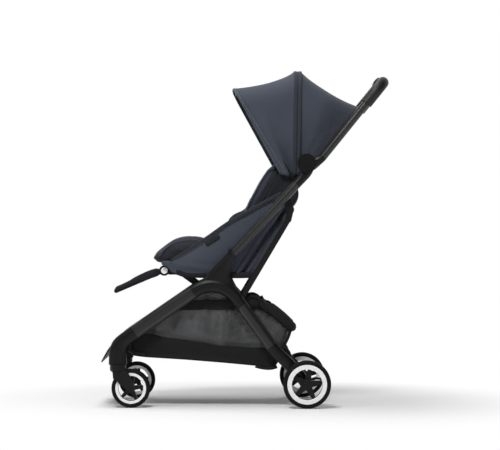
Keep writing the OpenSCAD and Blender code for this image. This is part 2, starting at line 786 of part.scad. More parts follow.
// Closed shell over the panel outline: side walls and a curved roof, open towards the pivot and the front.
module canopy_shell(a1, r1, a2, r2, sag) {
    half = canopy_w / 2;
    n = 16;
    function fan(t, r_extra) = let (
        a = a1 + (a2 - a1) * t,
        r = r1 + (r2 - r1) * t - sag * 4 * t * (1 - t) + r_extra)
        [a, r];
    function arc_pts(t, inset) = let (f = fan(t, 0), r = f[1] - inset, h = half - inset, c = 62)
        concat(
            [[60, -h], [r - c, -h]],
            [for (i = [1:3]) [r - c + c * sin(22.5 * i), -h + c - c * cos(22.5 * i)]],
            [[r, -h + c], [r, h - c]],
            [for (i = [1:3]) [r - c + c * cos(22.5 * i), h - c + c * sin(22.5 * i)]],
            [[r - c, h], [60, h]]);
    function place(p, a) = [canopy_p[0] + p[0] * cos(a), p[1], canopy_p[1] + p[0] * sin(a)];
    function loop(t) = let (a = a1 + (a2 - a1) * t, o = arc_pts(t, 0), i = arc_pts(t, cloth_t))
        concat([for (p = o) place(p, a)], [for (k = [len(i) - 1:-1:0]) place(i[k], a)]);
    skin_u([for (k = [0:8]) loop(k / 8)]);
}

// Closed skin through equal rings that are U-shaped, capped by strips between their two sides.
module skin_u(rings) {
    m = len(rings[0]);
    n = len(rings);
    h = m / 2;
    pts = [for (r = rings) each r];
    sides = [for (i = [0:n - 2], j = [0:m - 1])
        let (a = i * m + j, b = i * m + (j + 1) % m)
        each [[a, b, a + m], [b, b + m, a + m]]];
    low = [for (j = [0:h - 2]) each [[j + 1, j, m - 1 - j], [j + 1, m - 1 - j, m - 2 - j]]];
    o = (n - 1) * m;
    high = [for (j = [0:h - 2]) each [[o + j, o + j + 1, o + m - 1 - j], [o + j + 1, o + m - 2 - j, o + m - 1 - j]]];
    polyhedron(points = pts, faces = concat(sides, low, high));
}

module canopy_front() {
    color("#454b59") canopy_shell(bow_front_a + 1.5, bow_r, bow_mid_a + 1, bow_r + 5, 22);
}
module canopy_zip() {
    color("#2a2d35") canopy_shell(bow_mid_a + 0.95, bow_r + 5, bow_mid_a - 0.95, bow_r + 5, 0);
}
module canopy_rear() {
    color("#454b59") canopy_shell(bow_mid_a - 1, bow_r + 5, bow_rear_a + 1, bow_r - 42, 26);
}

// ---------- links and seat ----------

link_w = 17;
module link_bars() {
    color("#1f1f21") both_sides() difference() {
        union() {
            flat_link(link_low, [132, 582], link_w, link_y, link_t);
            flat_link([132, 582], [139, 612], link_w + 3, link_y, link_t);
            flat_link([139, 612], link_top, link_w + 6, link_y, link_t);
        }
        cross_bar(link_low, hinge_pin_d + 2 * fit, link_y - 10, link_y + 10);
    }
}

rail_rear_x = -42;

module seat_frame() {
    strut_top = [-200, rail_z - 3];
    strut_y = rail_y + 5;
    front_end = [legrest_p[0] + 40, rail_z];
    color("#2a2a2c") {
        both_sides() {
            translate([legrest_p[0] + 13.5, rail_y, rail_z]) rotate([0, 90, 0])
                cylinder(d = rail_d, h = rail_rear_x - legrest_p[0] - 13.5);
            flat_link(strut_top, seat_pivot, 15, strut_y, 6);
            cross_bar(seat_pivot, hinge_pin_d, strut_y, rail_y + 16);
            difference() {
                flat_link(legrest_p, front_end, 13, rail_y - 3, 8);
                cross_bar(legrest_p, rest_pin_d + 2 * fit, 0, 200);
            }
        }
        cross_bar(front_end, rail_d - 2, -rail_y, rail_y);
        cross_bar(back_pivot, rail_d - 2, -rail_y, rail_y);
    }
}

// Knee roll, flat cushion and the rise towards the back, in side view.
cushion_front = -250;
cushion_crest = [cushion_front + 128, seat_z + 88];
cushion_heel = [cushion_front + seat_d + 4, seat_z + 24];
strap_a = atan2(cushion_heel[1] - cushion_crest[1], cushion_heel[0] - cushion_crest[0]);
strap_t = 2.4;

module seat_cushion() {
    roll = [[cushion_front - 46, seat_z + 35], [cushion_front - 14, seat_z + 92],
        [cushion_front + 44, seat_z + 124], cushion_crest];
    rear = cushion_front + seat_d;
    half = seat_w / 2 + 1 - seam;
    color("#3d4350") side_slab(-half, 2 * half) polygon(concat(
        [[cushion_front - 40, seat_z + 30], [cushion_front + 15, seat_z + 25], [cushion_front + 36, seat_z]],
        [[rear, seat_z], cushion_heel],
        [for (i = [10:-1:0]) bez(roll, i / 10)]
    ));
}

function strap_at(d, lift) = cushion_crest + d * dir(strap_a) + lift * side(strap_a);

module crotch_strap() {
    color("#1d1d1f") side_slab(-13, 26) polygon([
        strap_at(6, seam), strap_at(64, seam), strap_at(64, seam + strap_t), strap_at(6, seam + strap_t)
    ]);
}

module buckle() {
    c = strap_at(38, seam + strap_t);
    color("#151516") translate(xz(c)) rotate([0, -strap_a, 0]) {
        difference() {
            union() {
                cylinder(d = 44, h = 9);
                translate([0, 0, 9]) cylinder(d = 38, h = 2);
            }
            translate([0, 0, 9.4]) cylinder(d = 26, h = 3);
        }
    }
}

module side_panels() {
    color("#454b59") both_sides() side_slab(seat_w / 2 + 1, cloth_t + 1) polygon([
        [-232, 453], [-122.6, 524.4], [-46.4, 577], [-3.4, 600.7], [106, 662.6],
        [97, 580], [20, 425], [11, rail_z - 8], [-150, rail_z - 9], [-203, rail_z - 3]
    ]);
}

// ---------- backrest ----------

function on_back(u, v) = back_pivot + u * dir(back_a) + v * side(back_a);

hinge_tube_d = rail_d - 2;
sleeve_d = hinge_tube_d + 8;
back_bar_y = back_w / 2 - 31;

module back_sleeve(y, w) {
    cross_bar(back_pivot, sleeve_d, y - w / 2, y + w / 2);
}

module back_bore() {
    cross_bar(back_pivot, hinge_tube_d + 2 * fit, -200, 200);
}

// Hinge arms that lay the backrest down on the seat when the frame folds.
module back_hinges() {
    color("#1d1d1f") both_sides() difference() {
        union() {
            back_sleeve(back_bar_y + 9.6, 6);
            flat_link(back_pivot, on_back(46, 0), 8, back_bar_y + 9.6, 6);
            cross_bar(on_back(46, 0), 6, back_bar_y + 3.9, back_bar_y + 9.6);
        }
        back_bore();
    }
}

module backrest_frame() {
    wire = 7;
    top = back_len - 40;
    corner = 30;
    color("#2a2a2c") difference() {
        union() {
            translate(xz(back_pivot)) rotate([0, -back_a, 0]) u_tube(top, back_bar_y, corner, wire, top - corner);
            both_sides() back_sleeve(back_bar_y, 12);
            cross_bar(on_back(top * 0.45, 0), wire - 2, -back_bar_y, back_bar_y);
        }
        back_bore();
    }
}

back_v = sleeve_d / 2 - 5.5;

// Padded back with forward side wings.
module backrest_pad() {
    wing = [on_back(150, back_v + 38), on_back(230, back_v + 44), on_back(330, back_v + 42), on_back(back_len, back_v + 14)];
    color("#454b59") {
        side_slab(-back_w / 2, back_w) polygon([
            on_back(30, back_v), on_back(back_len - 4, back_v), on_back(back_len, back_v + 8),
            on_back(back_len - 14, back_v + back_t - 2), on_back(back_len - 40, back_v + back_t),
            on_back(70, back_v + back_t), on_back(30, back_v + back_t * 0.7)
        ]);
        both_sides() side_slab(back_w / 2 - 24, 24) polygon(concat(
            [on_back(70, back_v + 4), on_back(back_len - 6, back_v + 4)],
            [for (i = [8:-1:0]) bez(wing, i / 8)],
            [on_back(90, back_v + 32)]
        ));
    }
}

module harness() {
    v = back_v + back_t + seam;
    color("#1d1d1f") for (y = [-48, 48]) {
        side_slab(y - 12.5, 25) polygon([
            on_back(90, v), on_back(310, v), on_back(310, v + 2.6), on_back(90, v + 2.6)
        ]);
        side_slab(y - 21, 42) polygon([
            on_back(170, v + 2.4), on_back(302, v + 2.4), on_back(296, v + 11), on_back(178, v + 11)
        ]);
    }
}

// Cloth sheet of thickness t along a path in side view.
module sheet(path, t, half) {
    n = len(path);
    function across(i) = let (d = path[min(i + 1, n - 1)] - path[max(i - 1, 0)]) [-d[1], d[0]] / norm(d);
    side_slab(-half, 2 * half) polygon(concat(path, [for (i = [n - 1:-1:0]) path[i] + t * across(i)]));
}

// Loose cloth that hangs from the upper frame behind the backrest.
module back_cover() {
    top = on_back(back_len - 18, back_v - seam);
    bulge = [top, top + [64, -46], [184, 640], [128, 590]];
    tail = [[128, 590], [96, 560], [40, 470], [16, 428]];
    path = concat([for (i = [0:8]) bez(bulge, i / 8)], [for (i = [1:5]) bez(tail, i / 5)]);
    color("#3d4350") sheet(path, cloth_t, back_w / 2 - 4);
}

// ---------- leg rest ----------

rest_pin_d = 8;
legrest_dir = dir(180 + legrest_a);
function on_rest(u, v) = legrest_p + u * legrest_dir + v * side(legrest_a);

module legrest_frame() {
    color("#1d1d1f") difference() {
        union() {
            both_sides() flat_link(legrest_p, on_rest(legrest_len - 8, 0), 13, rail_y + 6, 8);
            cross_bar(on_rest(legrest_len - 8, 0), 12, -rail_y - 6, rail_y + 6);
            both_sides() cross_bar(legrest_p, 24, rail_y + 2, rail_y + 10);
        }
        cross_bar(legrest_p, rest_pin_d + 2 * fit, -200, 200);
    }
}

module legrest_pad() {
    tip = legrest_len - 14 - seam;
    color("#2a2d35") side_slab(-rail_y + 1, 2 * rail_y - 2) polygon([
        on_rest(18, 9), on_rest(30, 12), on_rest(tip - 14, 10.5), on_rest(tip, 7),
        on_rest(tip, -4), on_rest(24, -7), on_rest(18, -2)
    ]);
}

module legrest_discs() {
    color("#141415") both_sides() difference() {
        union() {
            cross_bar(legrest_p, 33, rail_y + 10.4, rail_y + 20);
            cross_bar(legrest_p, rest_pin_d, rail_y - 8, rail_y + 11);
        }
        cross_bar(legrest_p, 21, rail_y + 15, rail_y + 21);
    }
}

module legrest_button(s) {
    color("#e8e8e8") cross_bar(legrest_p, 20.5, s * (rail_y + 18), s * (rail_y + 23));
}
module legrest_button_left() { legrest_button(-1); }
module legrest_button_right() { legrest_button(1); }

// ---------- basket ----------

// Open bag on webbing tabs that reach to the legs, with padded rolls at its rear corners.
module basket() {
    half = basket_w / 2;
    nose = swivel_x + 45.5;
    outer = [
        [nose, 172], [nose + 10, 156], [-187, 146], [-63, 136], [31, 126], [93, 118],
        [116, 192], [131, 242], [60, 298], [-24, 305], [-44, 318], [-200, 318], [nose + 50, 236]
    ];
    color("#3c3d40") {
        difference() {
            side_slab(-half, 2 * half) polygon(outer);
            side_slab(-half + basket_t, 2 * (half - basket_t)) polygon([
                [nose + 4, 173], [nose + 12, 159], [-187, 149], [-63, 139], [31, 129], [90, 121.5],
                [113, 193], [127, 242], [58, 340], [-24, 340], [-204, 340], [nose + 54, 240]
            ]);
        }
        both_sides() {
            for (p = [[-210, 306], [-60, 306]]) {
                translate([p[0] - 12, half - 0.5, p[1] - 3]) cube([24, leg_in - seam - half + 0.5, 3]);
            }
            flat_link([56, 312], [134, 250], 24, half + 6.5, 14);
            translate([24, half - 0.5, 270]) cube([18, leg_in - seam - half + 0.5, 3]);
        }
    }
}

front_leg_tubes();
leg_castings();
arches();
front_crossbar();
arch_crossbar();
footplate();
fold_pins();
seat_brackets();
caster_fork_left();
caster_fork_right();
caster_pins();
front_tyre_left();
front_rim_left();
front_ring_left();
front_axle_left();
front_tyre_right();
front_rim_right();
front_ring_right();
front_axle_right();
rear_legs();
rear_brackets();
rear_axle();
rear_tyre_left();
rear_rim_left();
rear_ring_left();
rear_tyre_right();
rear_rim_right();
rear_ring_right();
brake_pedal();
upper_tubes();
elbows();
hinge_caps();
handlebar();
handle_brackets();
grip();
release_console();
release_slider();
release_trigger();
bow_front();
bow_mid();
canopy_front();
canopy_zip();
canopy_rear();
link_bars();
seat_frame();
seat_cushion();
side_panels();
crotch_strap();
buckle();
back_hinges();
backrest_frame();
backrest_pad();
harness();
back_cover();
legrest_frame();
legrest_pad();
legrest_discs();
legrest_button_left();
legrest_button_right();
basket();
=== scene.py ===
# %% [markdown]
# # A folding baby stroller, dressed for the camera
# The rigid frame, castings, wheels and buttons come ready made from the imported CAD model.
# This lesson gives them their finishes and makes what is sewn or padded: canopy, seat, pads, straps and basket.
# Lengths on a drawing of such an object are in millimetres, so points are written in millimetres here
# and turned into metres once.

import math

import bmesh
import bpy
import numpy as np
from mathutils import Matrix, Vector


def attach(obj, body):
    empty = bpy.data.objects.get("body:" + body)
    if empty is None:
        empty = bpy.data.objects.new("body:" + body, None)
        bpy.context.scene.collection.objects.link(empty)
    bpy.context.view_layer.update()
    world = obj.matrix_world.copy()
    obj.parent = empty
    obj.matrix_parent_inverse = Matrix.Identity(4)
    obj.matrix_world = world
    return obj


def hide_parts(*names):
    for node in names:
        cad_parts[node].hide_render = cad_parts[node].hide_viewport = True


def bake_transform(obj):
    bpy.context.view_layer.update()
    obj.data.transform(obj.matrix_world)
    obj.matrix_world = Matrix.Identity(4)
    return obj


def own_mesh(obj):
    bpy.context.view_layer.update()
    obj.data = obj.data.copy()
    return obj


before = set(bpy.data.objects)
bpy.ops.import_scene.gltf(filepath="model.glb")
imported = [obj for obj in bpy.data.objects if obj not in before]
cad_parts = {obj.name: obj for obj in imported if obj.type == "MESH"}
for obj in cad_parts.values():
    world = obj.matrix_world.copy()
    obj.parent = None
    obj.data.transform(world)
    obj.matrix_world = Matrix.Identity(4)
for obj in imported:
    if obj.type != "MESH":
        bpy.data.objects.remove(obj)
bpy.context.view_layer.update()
MM = 0.001
SIDES = {"left": -1, "right": 1}
scene = bpy.context.scene

# %% [markdown]
# ## Camera
# A product picture of a stroller is taken exactly from the side, from far off, so that the wheels stay round.
# A long lens at six metres does that. A small lens shift puts the object a little left of the middle
# and low in the picture.

# %% Make the camera
lens = bpy.data.cameras.new("side_camera")
lens.lens = 133.4
lens.sensor_width = 36
lens.shift_x = 0.03
lens.shift_y = 0.036
camera = bpy.data.objects.new("side_camera", lens)
camera.location = (-0.0333, -5.915, 0.5092)
camera.rotation_euler = (math.radians(90), 0, 0)
scene.collection.objects.link(camera)
scene.camera = camera
scene.view_settings.view_transform = "Standard"

# %% [markdown]
# ## A small language for shaders
# Materials read better as sums than as lists of links. `Wire` holds one output socket and adds a Math node
# for each operator. `add_node` makes any other node, and `Finish` starts a Principled material.

# %% Wire, add_node and Finish
class Wire:
    def __init__(self, tree, socket):
        self.tree, self.socket = tree, socket

    def math(self, operation, *values, clamp=False):
        inputs = {f"i{k}": value for k, value in enumerate(values)}
        return add_node(self.tree, "ShaderNodeMath", 0, {"operation": operation, "use_clamp": clamp}, **inputs)

    def __add__(self, other):
        return self.math("ADD", self, other)

    def __mul__(self, other):
        return self.math("MULTIPLY", self, other)

    def __rsub__(self, other):
        return self.math("SUBTRACT", other, self)

    __radd__, __rmul__ = __add__, __mul__

    def wave(self):
        return self.math("SINE", self)

    def size(self):
        return self.math("ABSOLUTE", self)

    def most(self, other):
        return self.math("MAXIMUM", self, other)

    def above(self, edge, soft):
        return self.math("MULTIPLY_ADD", self, 1 / soft, 0.5 - edge / soft, clamp=True)


def add_node(tree, kind, output=0, settings=None, **inputs):
    """Adds a node and gives back one of its outputs. Inputs go by label, or by number as i0, i1 and so on."""
    node = tree.nodes.new(kind)
    for key, value in (settings or {}).items():
        setattr(node, key, value)
    for key, value in inputs.items():
        socket = node.inputs[int(key[1:]) if key[1:].isdigit() else key.replace("_", " ")]
        if isinstance(value, Wire):
            tree.links.new(value.socket, socket)
        else:
            socket.default_value = value
    return Wire(tree, node.outputs[output]) if node.outputs else None


class Finish:
    def __init__(self, name, colour, roughness, **constants):
        self.material = bpy.data.materials.new(name)
        self.material.use_nodes = True
        self.tree = self.material.node_tree
        self.shader = self.tree.nodes["Principled BSDF"]
        for label, value in {"Base_Color": (*colour, 1), "Roughness": roughness, **constants}.items():
            self.shader.inputs[label.replace("_", " ")].default_value = value
        self.place = self.node("ShaderNodeTexCoord", "Object")

    def node(self, kind, output=0, settings=None, **inputs):
        return add_node(self.tree, kind, output, settings, **inputs)

    def noise(self, scale, detail=3.0, rough=0.5, at=None):
        return self.node("ShaderNodeTexNoise", "Fac", Vector=at or self.place, Scale=scale, Detail=detail,
                         Roughness=rough)

    def cells(self, scale):
        return self.node("ShaderNodeTexVoronoi", "Distance", Vector=self.place, Scale=scale)

    def stretch(self, x, y, z, turn=(0, 0, 0)):
        return self.node("ShaderNodeMapping", Vector=self.place, Scale=(x, y, z), Rotation=turn)

    def cloth_waves(self, turns_u, turns_v):
        """Sine waves along the two directions of the piece's own UV map, which is in metres of cloth."""
        cloth = self.node("ShaderNodeUVMap", settings={"uv_map": "cloth"})
        return [(self.node("ShaderNodeSeparateXYZ", axis, i0=cloth) * turns).wave()
                for axis, turns in (("X", turns_u), ("Y", turns_v))]

    def feed(self, socket, wire):
        self.tree.links.new(wire.socket, self.shader.inputs[socket])

    def tint(self, amount, dark, light):
        mixed = self.node("ShaderNodeMix", 2, {"data_type": "RGBA"}, i0=amount, i6=(*dark, 1), i7=(*light, 1))
        self.feed("Base Color", mixed)

    def bump(self, height, depth, strength):
        self.feed("Normal", self.node("ShaderNodeBump", Height=height, Distance=depth, Strength=strength))


# %% [markdown]
# ## Studio
# Black tubes have no colour of their own to show: what makes them readable is the long soft reflection of a lamp.
# So there is one big lamp above and a narrower one from each side, and the white of the backdrop lies behind the
# object only, which leaves the side towards the camera dark, as a studio does. The floor mixes its lit surface with
# plain white: little of it near the object, where the shadow falls, and nothing but white further out,
# so that no horizon shows.

# %% Floor, world and lamps
FLOOR_SIZE, FLOOR_DROP = 60, 0.0005
SHADOW_NEAR, SHADOW_FAR, VEIL = 0.5, 1.05, 0.05
AIR_LIGHT, FRONT_DIM = 0.24, 0.02


def blank_tree(data):
    data.use_nodes = True
    data.node_tree.nodes.clear()
    return data.node_tree


def seen_straight(tree):
    """1 for what the camera, a reflection or clear stuff shows, and 0 for light on its way to lit surfaces."""
    kinds = ("Is Camera Ray", "Is Glossy Ray", "Is Transmission Ray")
    camera_ray, glossy, clear = [add_node(tree, "ShaderNodeLightPath", kind) for kind in kinds]
    return camera_ray.most(glossy).most(clear)


def ramp(value, low, high, start, end):
    return add_node(value.tree, "ShaderNodeMapRange", 0, {"interpolation_type": "SMOOTHSTEP"}, Value=value,
                    From_Min=low, From_Max=high, To_Min=start, To_Max=end)


def studio_floor():
    bpy.ops.mesh.primitive_plane_add(size=FLOOR_SIZE, location=(0, 0, -FLOOR_DROP))
    floor = bpy.context.object
    floor.name = "studio_floor"
    material = bpy.data.materials.new("studio_white")
    tree = blank_tree(material)
    place = add_node(tree, "ShaderNodeTexCoord", "Object")
    reach = add_node(tree, "ShaderNodeVectorMath", "Value", {"operation": "LENGTH"}, i0=place)
    share = ramp(reach, SHADOW_NEAR, SHADOW_FAR, VEIL, 1.0) * seen_straight(tree)
    lit = add_node(tree, "ShaderNodeBsdfDiffuse", Color=(0.9, 0.9, 0.9, 1))
    white = add_node(tree, "ShaderNodeEmission", Strength=1.0)
    mix = add_node(tree, "ShaderNodeMixShader", i0=share, i1=lit, i2=white)
    add_node(tree, "ShaderNodeOutputMaterial", Surface=mix)
    floor.data.materials.append(material)


def studio_world():
    scene.world = bpy.data.worlds.new("studio_air")
    tree = blank_tree(scene.world)
    back = add_node(tree, "ShaderNodeSeparateXYZ", "Y", i0=add_node(tree, "ShaderNodeTexCoord", "Generated"))
    level = ramp(back, -0.1, 0.8, FRONT_DIM, 1.0).most(add_node(tree, "ShaderNodeLightPath", "Is Camera Ray"))
    lit, seen = [add_node(tree, "ShaderNodeBackground", Color=(1, 1, 1, 1), Strength=s) for s in (AIR_LIGHT, level)]
    mix = add_node(tree, "ShaderNodeMixShader", i0=seen_straight(tree), i1=lit, i2=seen)
    add_node(tree, "ShaderNodeOutputWorld", Surface=mix)


def soft_lamp(name, place, aim_height, size, power):
    light = bpy.data.lights.new(name, "AREA")
    light.shape = "RECTANGLE"
    light.size, light.size_y = size
    light.energy = power
    lamp = bpy.data.objects.new(name, light)
    lamp.location = place
    lamp.rotation_euler = (Vector((0, 0, aim_height)) - Vector(place)).to_track_quat("-Z", "Y").to_euler()
    scene.collection.objects.link(lamp)


studio_floor()
studio_world()
soft_lamp("key_softbox", (-0.7, -2.4, 3.0), 0.4, (1.1, 0.7), 76)
soft_lamp("overhead_softbox", (-0.4, 0.0, 3.0), 0.3, (2.0, 1.0), 34)
soft_lamp("front_softbox", (-2.8, -2.0, 1.6), 0.5, (0.8, 1.6), 12)
soft_lamp("far_softbox", (0.6, 3.2, 2.4), 0.5, (2.2, 1.2), 10)

# %% [markdown]
# ## Finishes of the rigid parts
# The tubes are black anodised aluminium: a satin metal skin with the faint long streaks of drawing.
# Castings are glass-filled nylon, with a fine moulded grain and a gloss that varies a little from place to place.
# Wire parts are powder coated, which dries with an orange-peel surface.

# %% Rigid finishes
def anodised_tube():
    f = Finish("satin_black_anodised", (0.010, 0.010, 0.011), 0.34, Specular_IOR_Level=0.5)
    streak = f.noise(260, 2, 0.6, f.stretch(0.05, 1, 0.05))
    cloud = f.noise(9)
    f.tint(cloud * 0.6 + streak * 0.4, (0.007, 0.007, 0.008), (0.014, 0.014, 0.015))
    f.feed("Roughness", 0.27 + cloud * 0.08 + streak * 0.05)
    f.bump(f.noise(2600, 2), 0.00002, 0.35)
    return f.material


def moulded_nylon(name, low, dark, light):
    f = Finish(name, dark, 0.5, Specular_IOR_Level=0.24)
    grain = f.noise(1500, 3, 0.6)
    cloud = f.noise(14, 4)
    f.tint(cloud.above(0.5, 0.5), dark, light)
    f.feed("Roughness", low + cloud * 0.10 + grain * 0.06)
    f.bump(grain, 0.00006, 0.4)
    return f.material


def powder_coat():
    f = Finish("black_powder_coat", (0.005, 0.005, 0.006), 0.42, Specular_IOR_Level=0.24)
    cloud = f.noise(20)
    f.tint(cloud, (0.0038, 0.0038, 0.0045), (0.0075, 0.0075, 0.0082))
    f.feed("Roughness", 0.36 + cloud * 0.12)
    f.bump(f.noise(420, 2, 0.4), 0.00012, 0.3)
    return f.material


def turned_steel():
    f = Finish("turned_steel", (0.42, 0.42, 0.44), 0.3, Metallic=1.0)
    ring = f.noise(900, 2, 0.5, f.stretch(1, 0.1, 1))
    f.tint(ring, (0.34, 0.34, 0.36), (0.5, 0.5, 0.52))
    f.feed("Roughness", 0.22 + ring * 0.18)
    f.bump(ring, 0.00003, 0.4)
    return f.material


def foam_rubber():
    f = Finish("black_foam_rubber", (0.008, 0.008, 0.008), 0.72, Specular_IOR_Level=0.16)
    dust = f.noise(34, 5, 0.6)
    f.tint(dust.above(0.55, 0.4), (0.0035, 0.0035, 0.0035), (0.009, 0.0088, 0.0085))
    f.feed("Roughness", 0.62 + dust * 0.22)
    f.bump(f.cells(900).above(0.35, 0.5), 0.00008, 0.35)
    return f.material


def white_trim():
    f = Finish("white_wheel_trim", (0.83, 0.83, 0.82), 0.32, Coat_Weight=0.25)
    cloud = f.noise(40, 4)
    f.tint(cloud.above(0.45, 0.6), (0.80, 0.80, 0.79), (0.86, 0.86, 0.86))
    f.feed("Roughness", 0.24 + cloud * 0.16)
    f.bump(f.noise(700, 2), 0.00002, 0.3)
    return f.material


def grip_leather():
    f = Finish("black_grip_leather", (0.009, 0.009, 0.010), 0.5, Specular_IOR_Level=0.35)
    crease = f.noise(160, 4, 0.6)
    f.tint(crease, (0.006, 0.006, 0.007), (0.013, 0.013, 0.014))
    f.feed("Roughness", 0.42 + crease * 0.16)
    f.bump(f.cells(780) * 0.6 + crease * 0.4, 0.00006, 0.4)
    return f.material


TUBE, COAT, STEEL, TYRE = anodised_tube(), powder_coat(), turned_steel(), foam_rubber()
WHITE, LEATHER = white_trim(), grip_leather()
NYLON = moulded_nylon("grained_black_nylon", 0.30, (0.0035, 0.0035, 0.0038), (0.0065, 0.0065, 0.0069))
CAP = moulded_nylon("smooth_black_cap", 0.26, (0.0035, 0.0035, 0.0035), (0.006, 0.006, 0.0064))
print("rigid finishes ready")

# %% [markdown]
# ## Cloth finishes
# The seat and canopy are a dark blue-grey woven polyester. Its weave is far finer than a picture of the whole
# stroller shows, but it is there up close: threads over and under, and a melange of lighter and darker yarn.
# The weave is laid on the piece's own UV map, in metres of cloth, so that it follows every curve.

# %% Cloth finishes
def woven(name, dark, light, pitch=0.0011, rough=0.82, sheen=0.12):
    f = Finish(name, light, rough, Specular_IOR_Level=0.3, Sheen_Weight=sheen, Sheen_Roughness=0.5)
    weft, warp = f.cloth_waves(2 * math.pi / pitch, 2 * math.pi / pitch)
    over = weft * warp
    yarn = f.noise(60, 3, 0.6, f.stretch(1, 1, 22)) * 0.5 + f.noise(60, 3, 0.6, f.stretch(22, 1, 1)) * 0.5
    mottle = f.noise(5.5, 4, 0.55)
    f.tint((over * 0.22 + yarn * 0.45 + mottle * 0.5).above(0.5, 0.9), dark, light)
    f.feed("Roughness", rough - 0.06 + mottle * 0.12)
    f.bump(over * 0.5 + yarn * 0.3, 0.00012, 0.6)
    return f.material


def net(name, colour, pitch=0.0032, hole=0.30):
    f = Finish(name, colour, 0.7, Specular_IOR_Level=0.3)
    weft, warp = f.cloth_waves(2 * math.pi / pitch, 2 * math.pi / pitch)
    thread = (weft * warp).size()
    # The diagonal streaks, lighter and darker than the net's grey, are painted light and shade of the net's folds.
    streak = f.noise(16, 3, 0.55, f.stretch(1.0, 0.2, 0.3, turn=(0, math.radians(24), 0)))
    f.tint(streak.above(0.5, 0.35), [0.62 * c for c in colour], [1.7 * c for c in colour])
    f.feed("Alpha", 1 - thread.above(hole, 0.1) * 0.5)
    f.bump(thread, 0.0002, 0.4)
    return f.material


def webbing(name):
    f = Finish(name, (0.010, 0.010, 0.011), 0.66, Specular_IOR_Level=0.25, Sheen_Weight=0.03)
    across, along = f.cloth_waves(3800, 2200)
    rib = across * 0.5 + along * 0.5
    f.tint(rib * 0.3 + f.noise(30), (0.004, 0.004, 0.0045), (0.010, 0.010, 0.011))
    f.feed("Roughness", 0.58 + f.noise(40, 2) * 0.14)
    f.bump(rib, 0.0002, 0.5)
    return f.material


def grey_thread():
    f = Finish("grey_thread", (0.055, 0.062, 0.08), 0.6)
    f.tint(f.noise(900, 2), (0.045, 0.05, 0.066), (0.075, 0.084, 0.104))
    f.bump(f.noise(3000, 2), 0.0001, 0.4)
    return f.material


BLUE = woven("blue_grey_weave", (0.026, 0.031, 0.045), (0.058, 0.068, 0.092))
DUSK = woven("near_black_weave", (0.005, 0.006, 0.008), (0.013, 0.015, 0.020), pitch=0.0014, sheen=0.03)
BASKET_CLOTH = woven("basket_black_cloth", (0.003, 0.003, 0.0035), (0.008, 0.008, 0.0085), pitch=0.0018, sheen=0.01)
# The blue weave again, painted darker on the cushion and backrest pad: painted shade of the canopy over the seat.
SHADED_SEAT_WEAVE = woven("seat_weave_painted_shade", (0.017, 0.021, 0.031), (0.040, 0.047, 0.066))
TAPE = woven("zip_tape_weave", (0.014, 0.017, 0.025), (0.030, 0.036, 0.050), pitch=0.0009)
PIPING = woven("piping_binding", (0.009, 0.010, 0.014), (0.020, 0.022, 0.029), pitch=0.0009, rough=0.6, sheen=0.04)
# The hem tape's own dark colour. The same material also paints shade on the pads' side faces.
HEM_TAPE_AND_FLANK_SHADE = woven("hem_tape_and_painted_flank_shade", (0.008, 0.010, 0.014), (0.017, 0.020, 0.028), pitch=0.0009, rough=0.66, sheen=0.05)
# Piping on the canopy's front edges and on the pad's wings, painted lighter than the blue: a painted highlight on those
# lit edges.
HIGHLIT_PIPING = woven("piping_painted_highlight", (0.045, 0.053, 0.072), (0.080, 0.092, 0.120), pitch=0.0009, rough=0.62, sheen=0.15)
NET = net("grey_basket_net", (0.050, 0.051, 0.053))
STRAP, THREAD = webbing("black_webbing"), grey_thread()
print("cloth finishes ready")

# %% [markdown]
# ## Give the CAD nodes their finishes
# A carried-over node keeps its mesh. Only its material changes, and it changes on every slot the node has.

# %% Assign finishes
FINISH_OF = {
    TUBE: ["front_leg_tubes", "rear_legs", "upper_tubes", "handlebar"],
    NYLON: ["arches", "leg_castings", "footplate", "caster_fork_left", "caster_fork_right", "front_rim_left",
            "front_rim_right", "rear_rim_left", "rear_rim_right", "rear_brackets", "brake_pedal", "elbows",
            "handle_brackets", "release_console", "release_slider", "release_trigger", "buckle", "legrest_discs",
            "legrest_frame"],
    CAP: ["hinge_caps"],
    COAT: ["arch_crossbar", "front_crossbar", "link_bars", "seat_frame", "seat_brackets", "backrest_frame",
           "back_hinges", "bow_front", "bow_mid", "fold_pins", "front_axle_left", "front_axle_right", "rear_axle"],
    STEEL: ["caster_pins"],
    TYRE: ["front_tyre_left", "front_tyre_right", "rear_tyre_left", "rear_tyre_right"],
    WHITE: ["front_ring_left", "front_ring_right", "rear_ring_left", "rear_ring_right", "legrest_button_left",
            "legrest_button_right"],
    LEATHER: ["grip"],
}
for finish, names in FINISH_OF.items():
    for name in names:
        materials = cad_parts[name].data.materials
        if not materials:
            materials.append(finish)
        for k in range(len(materials)):
            materials[k] = finish
print("finished nodes", sum(len(v) for v in FINISH_OF.values()))

# %% [markdown]
# ## Tools for cloth
# A sheet of cloth is a grid of points: rows across it and columns along it. Its UV map holds real metres of cloth,
# so a weave keeps its size on every piece. Thickness comes from Solidify, which is applied, so the piece ends
# as a plain mesh. A closed tube or solid is a grid too, whose rows run round it.

# %% Curves, grids, sheets and solids
def smooth_step(t):
    t = min(1.0, max(0.0, t))
    return t * t * (3 - 2 * t)


def bump_at(x, centre, width):
    """A soft ridge of height 1 at centre, about as wide as two widths."""
    return math.exp(-(((x - centre) / width) ** 2))


def heading(angle):
    return np.array([math.cos(math.radians(angle)), math.sin(math.radians(angle))])


def at_side(points, y):
    return np.array([[x, y, z] for x, z in points])


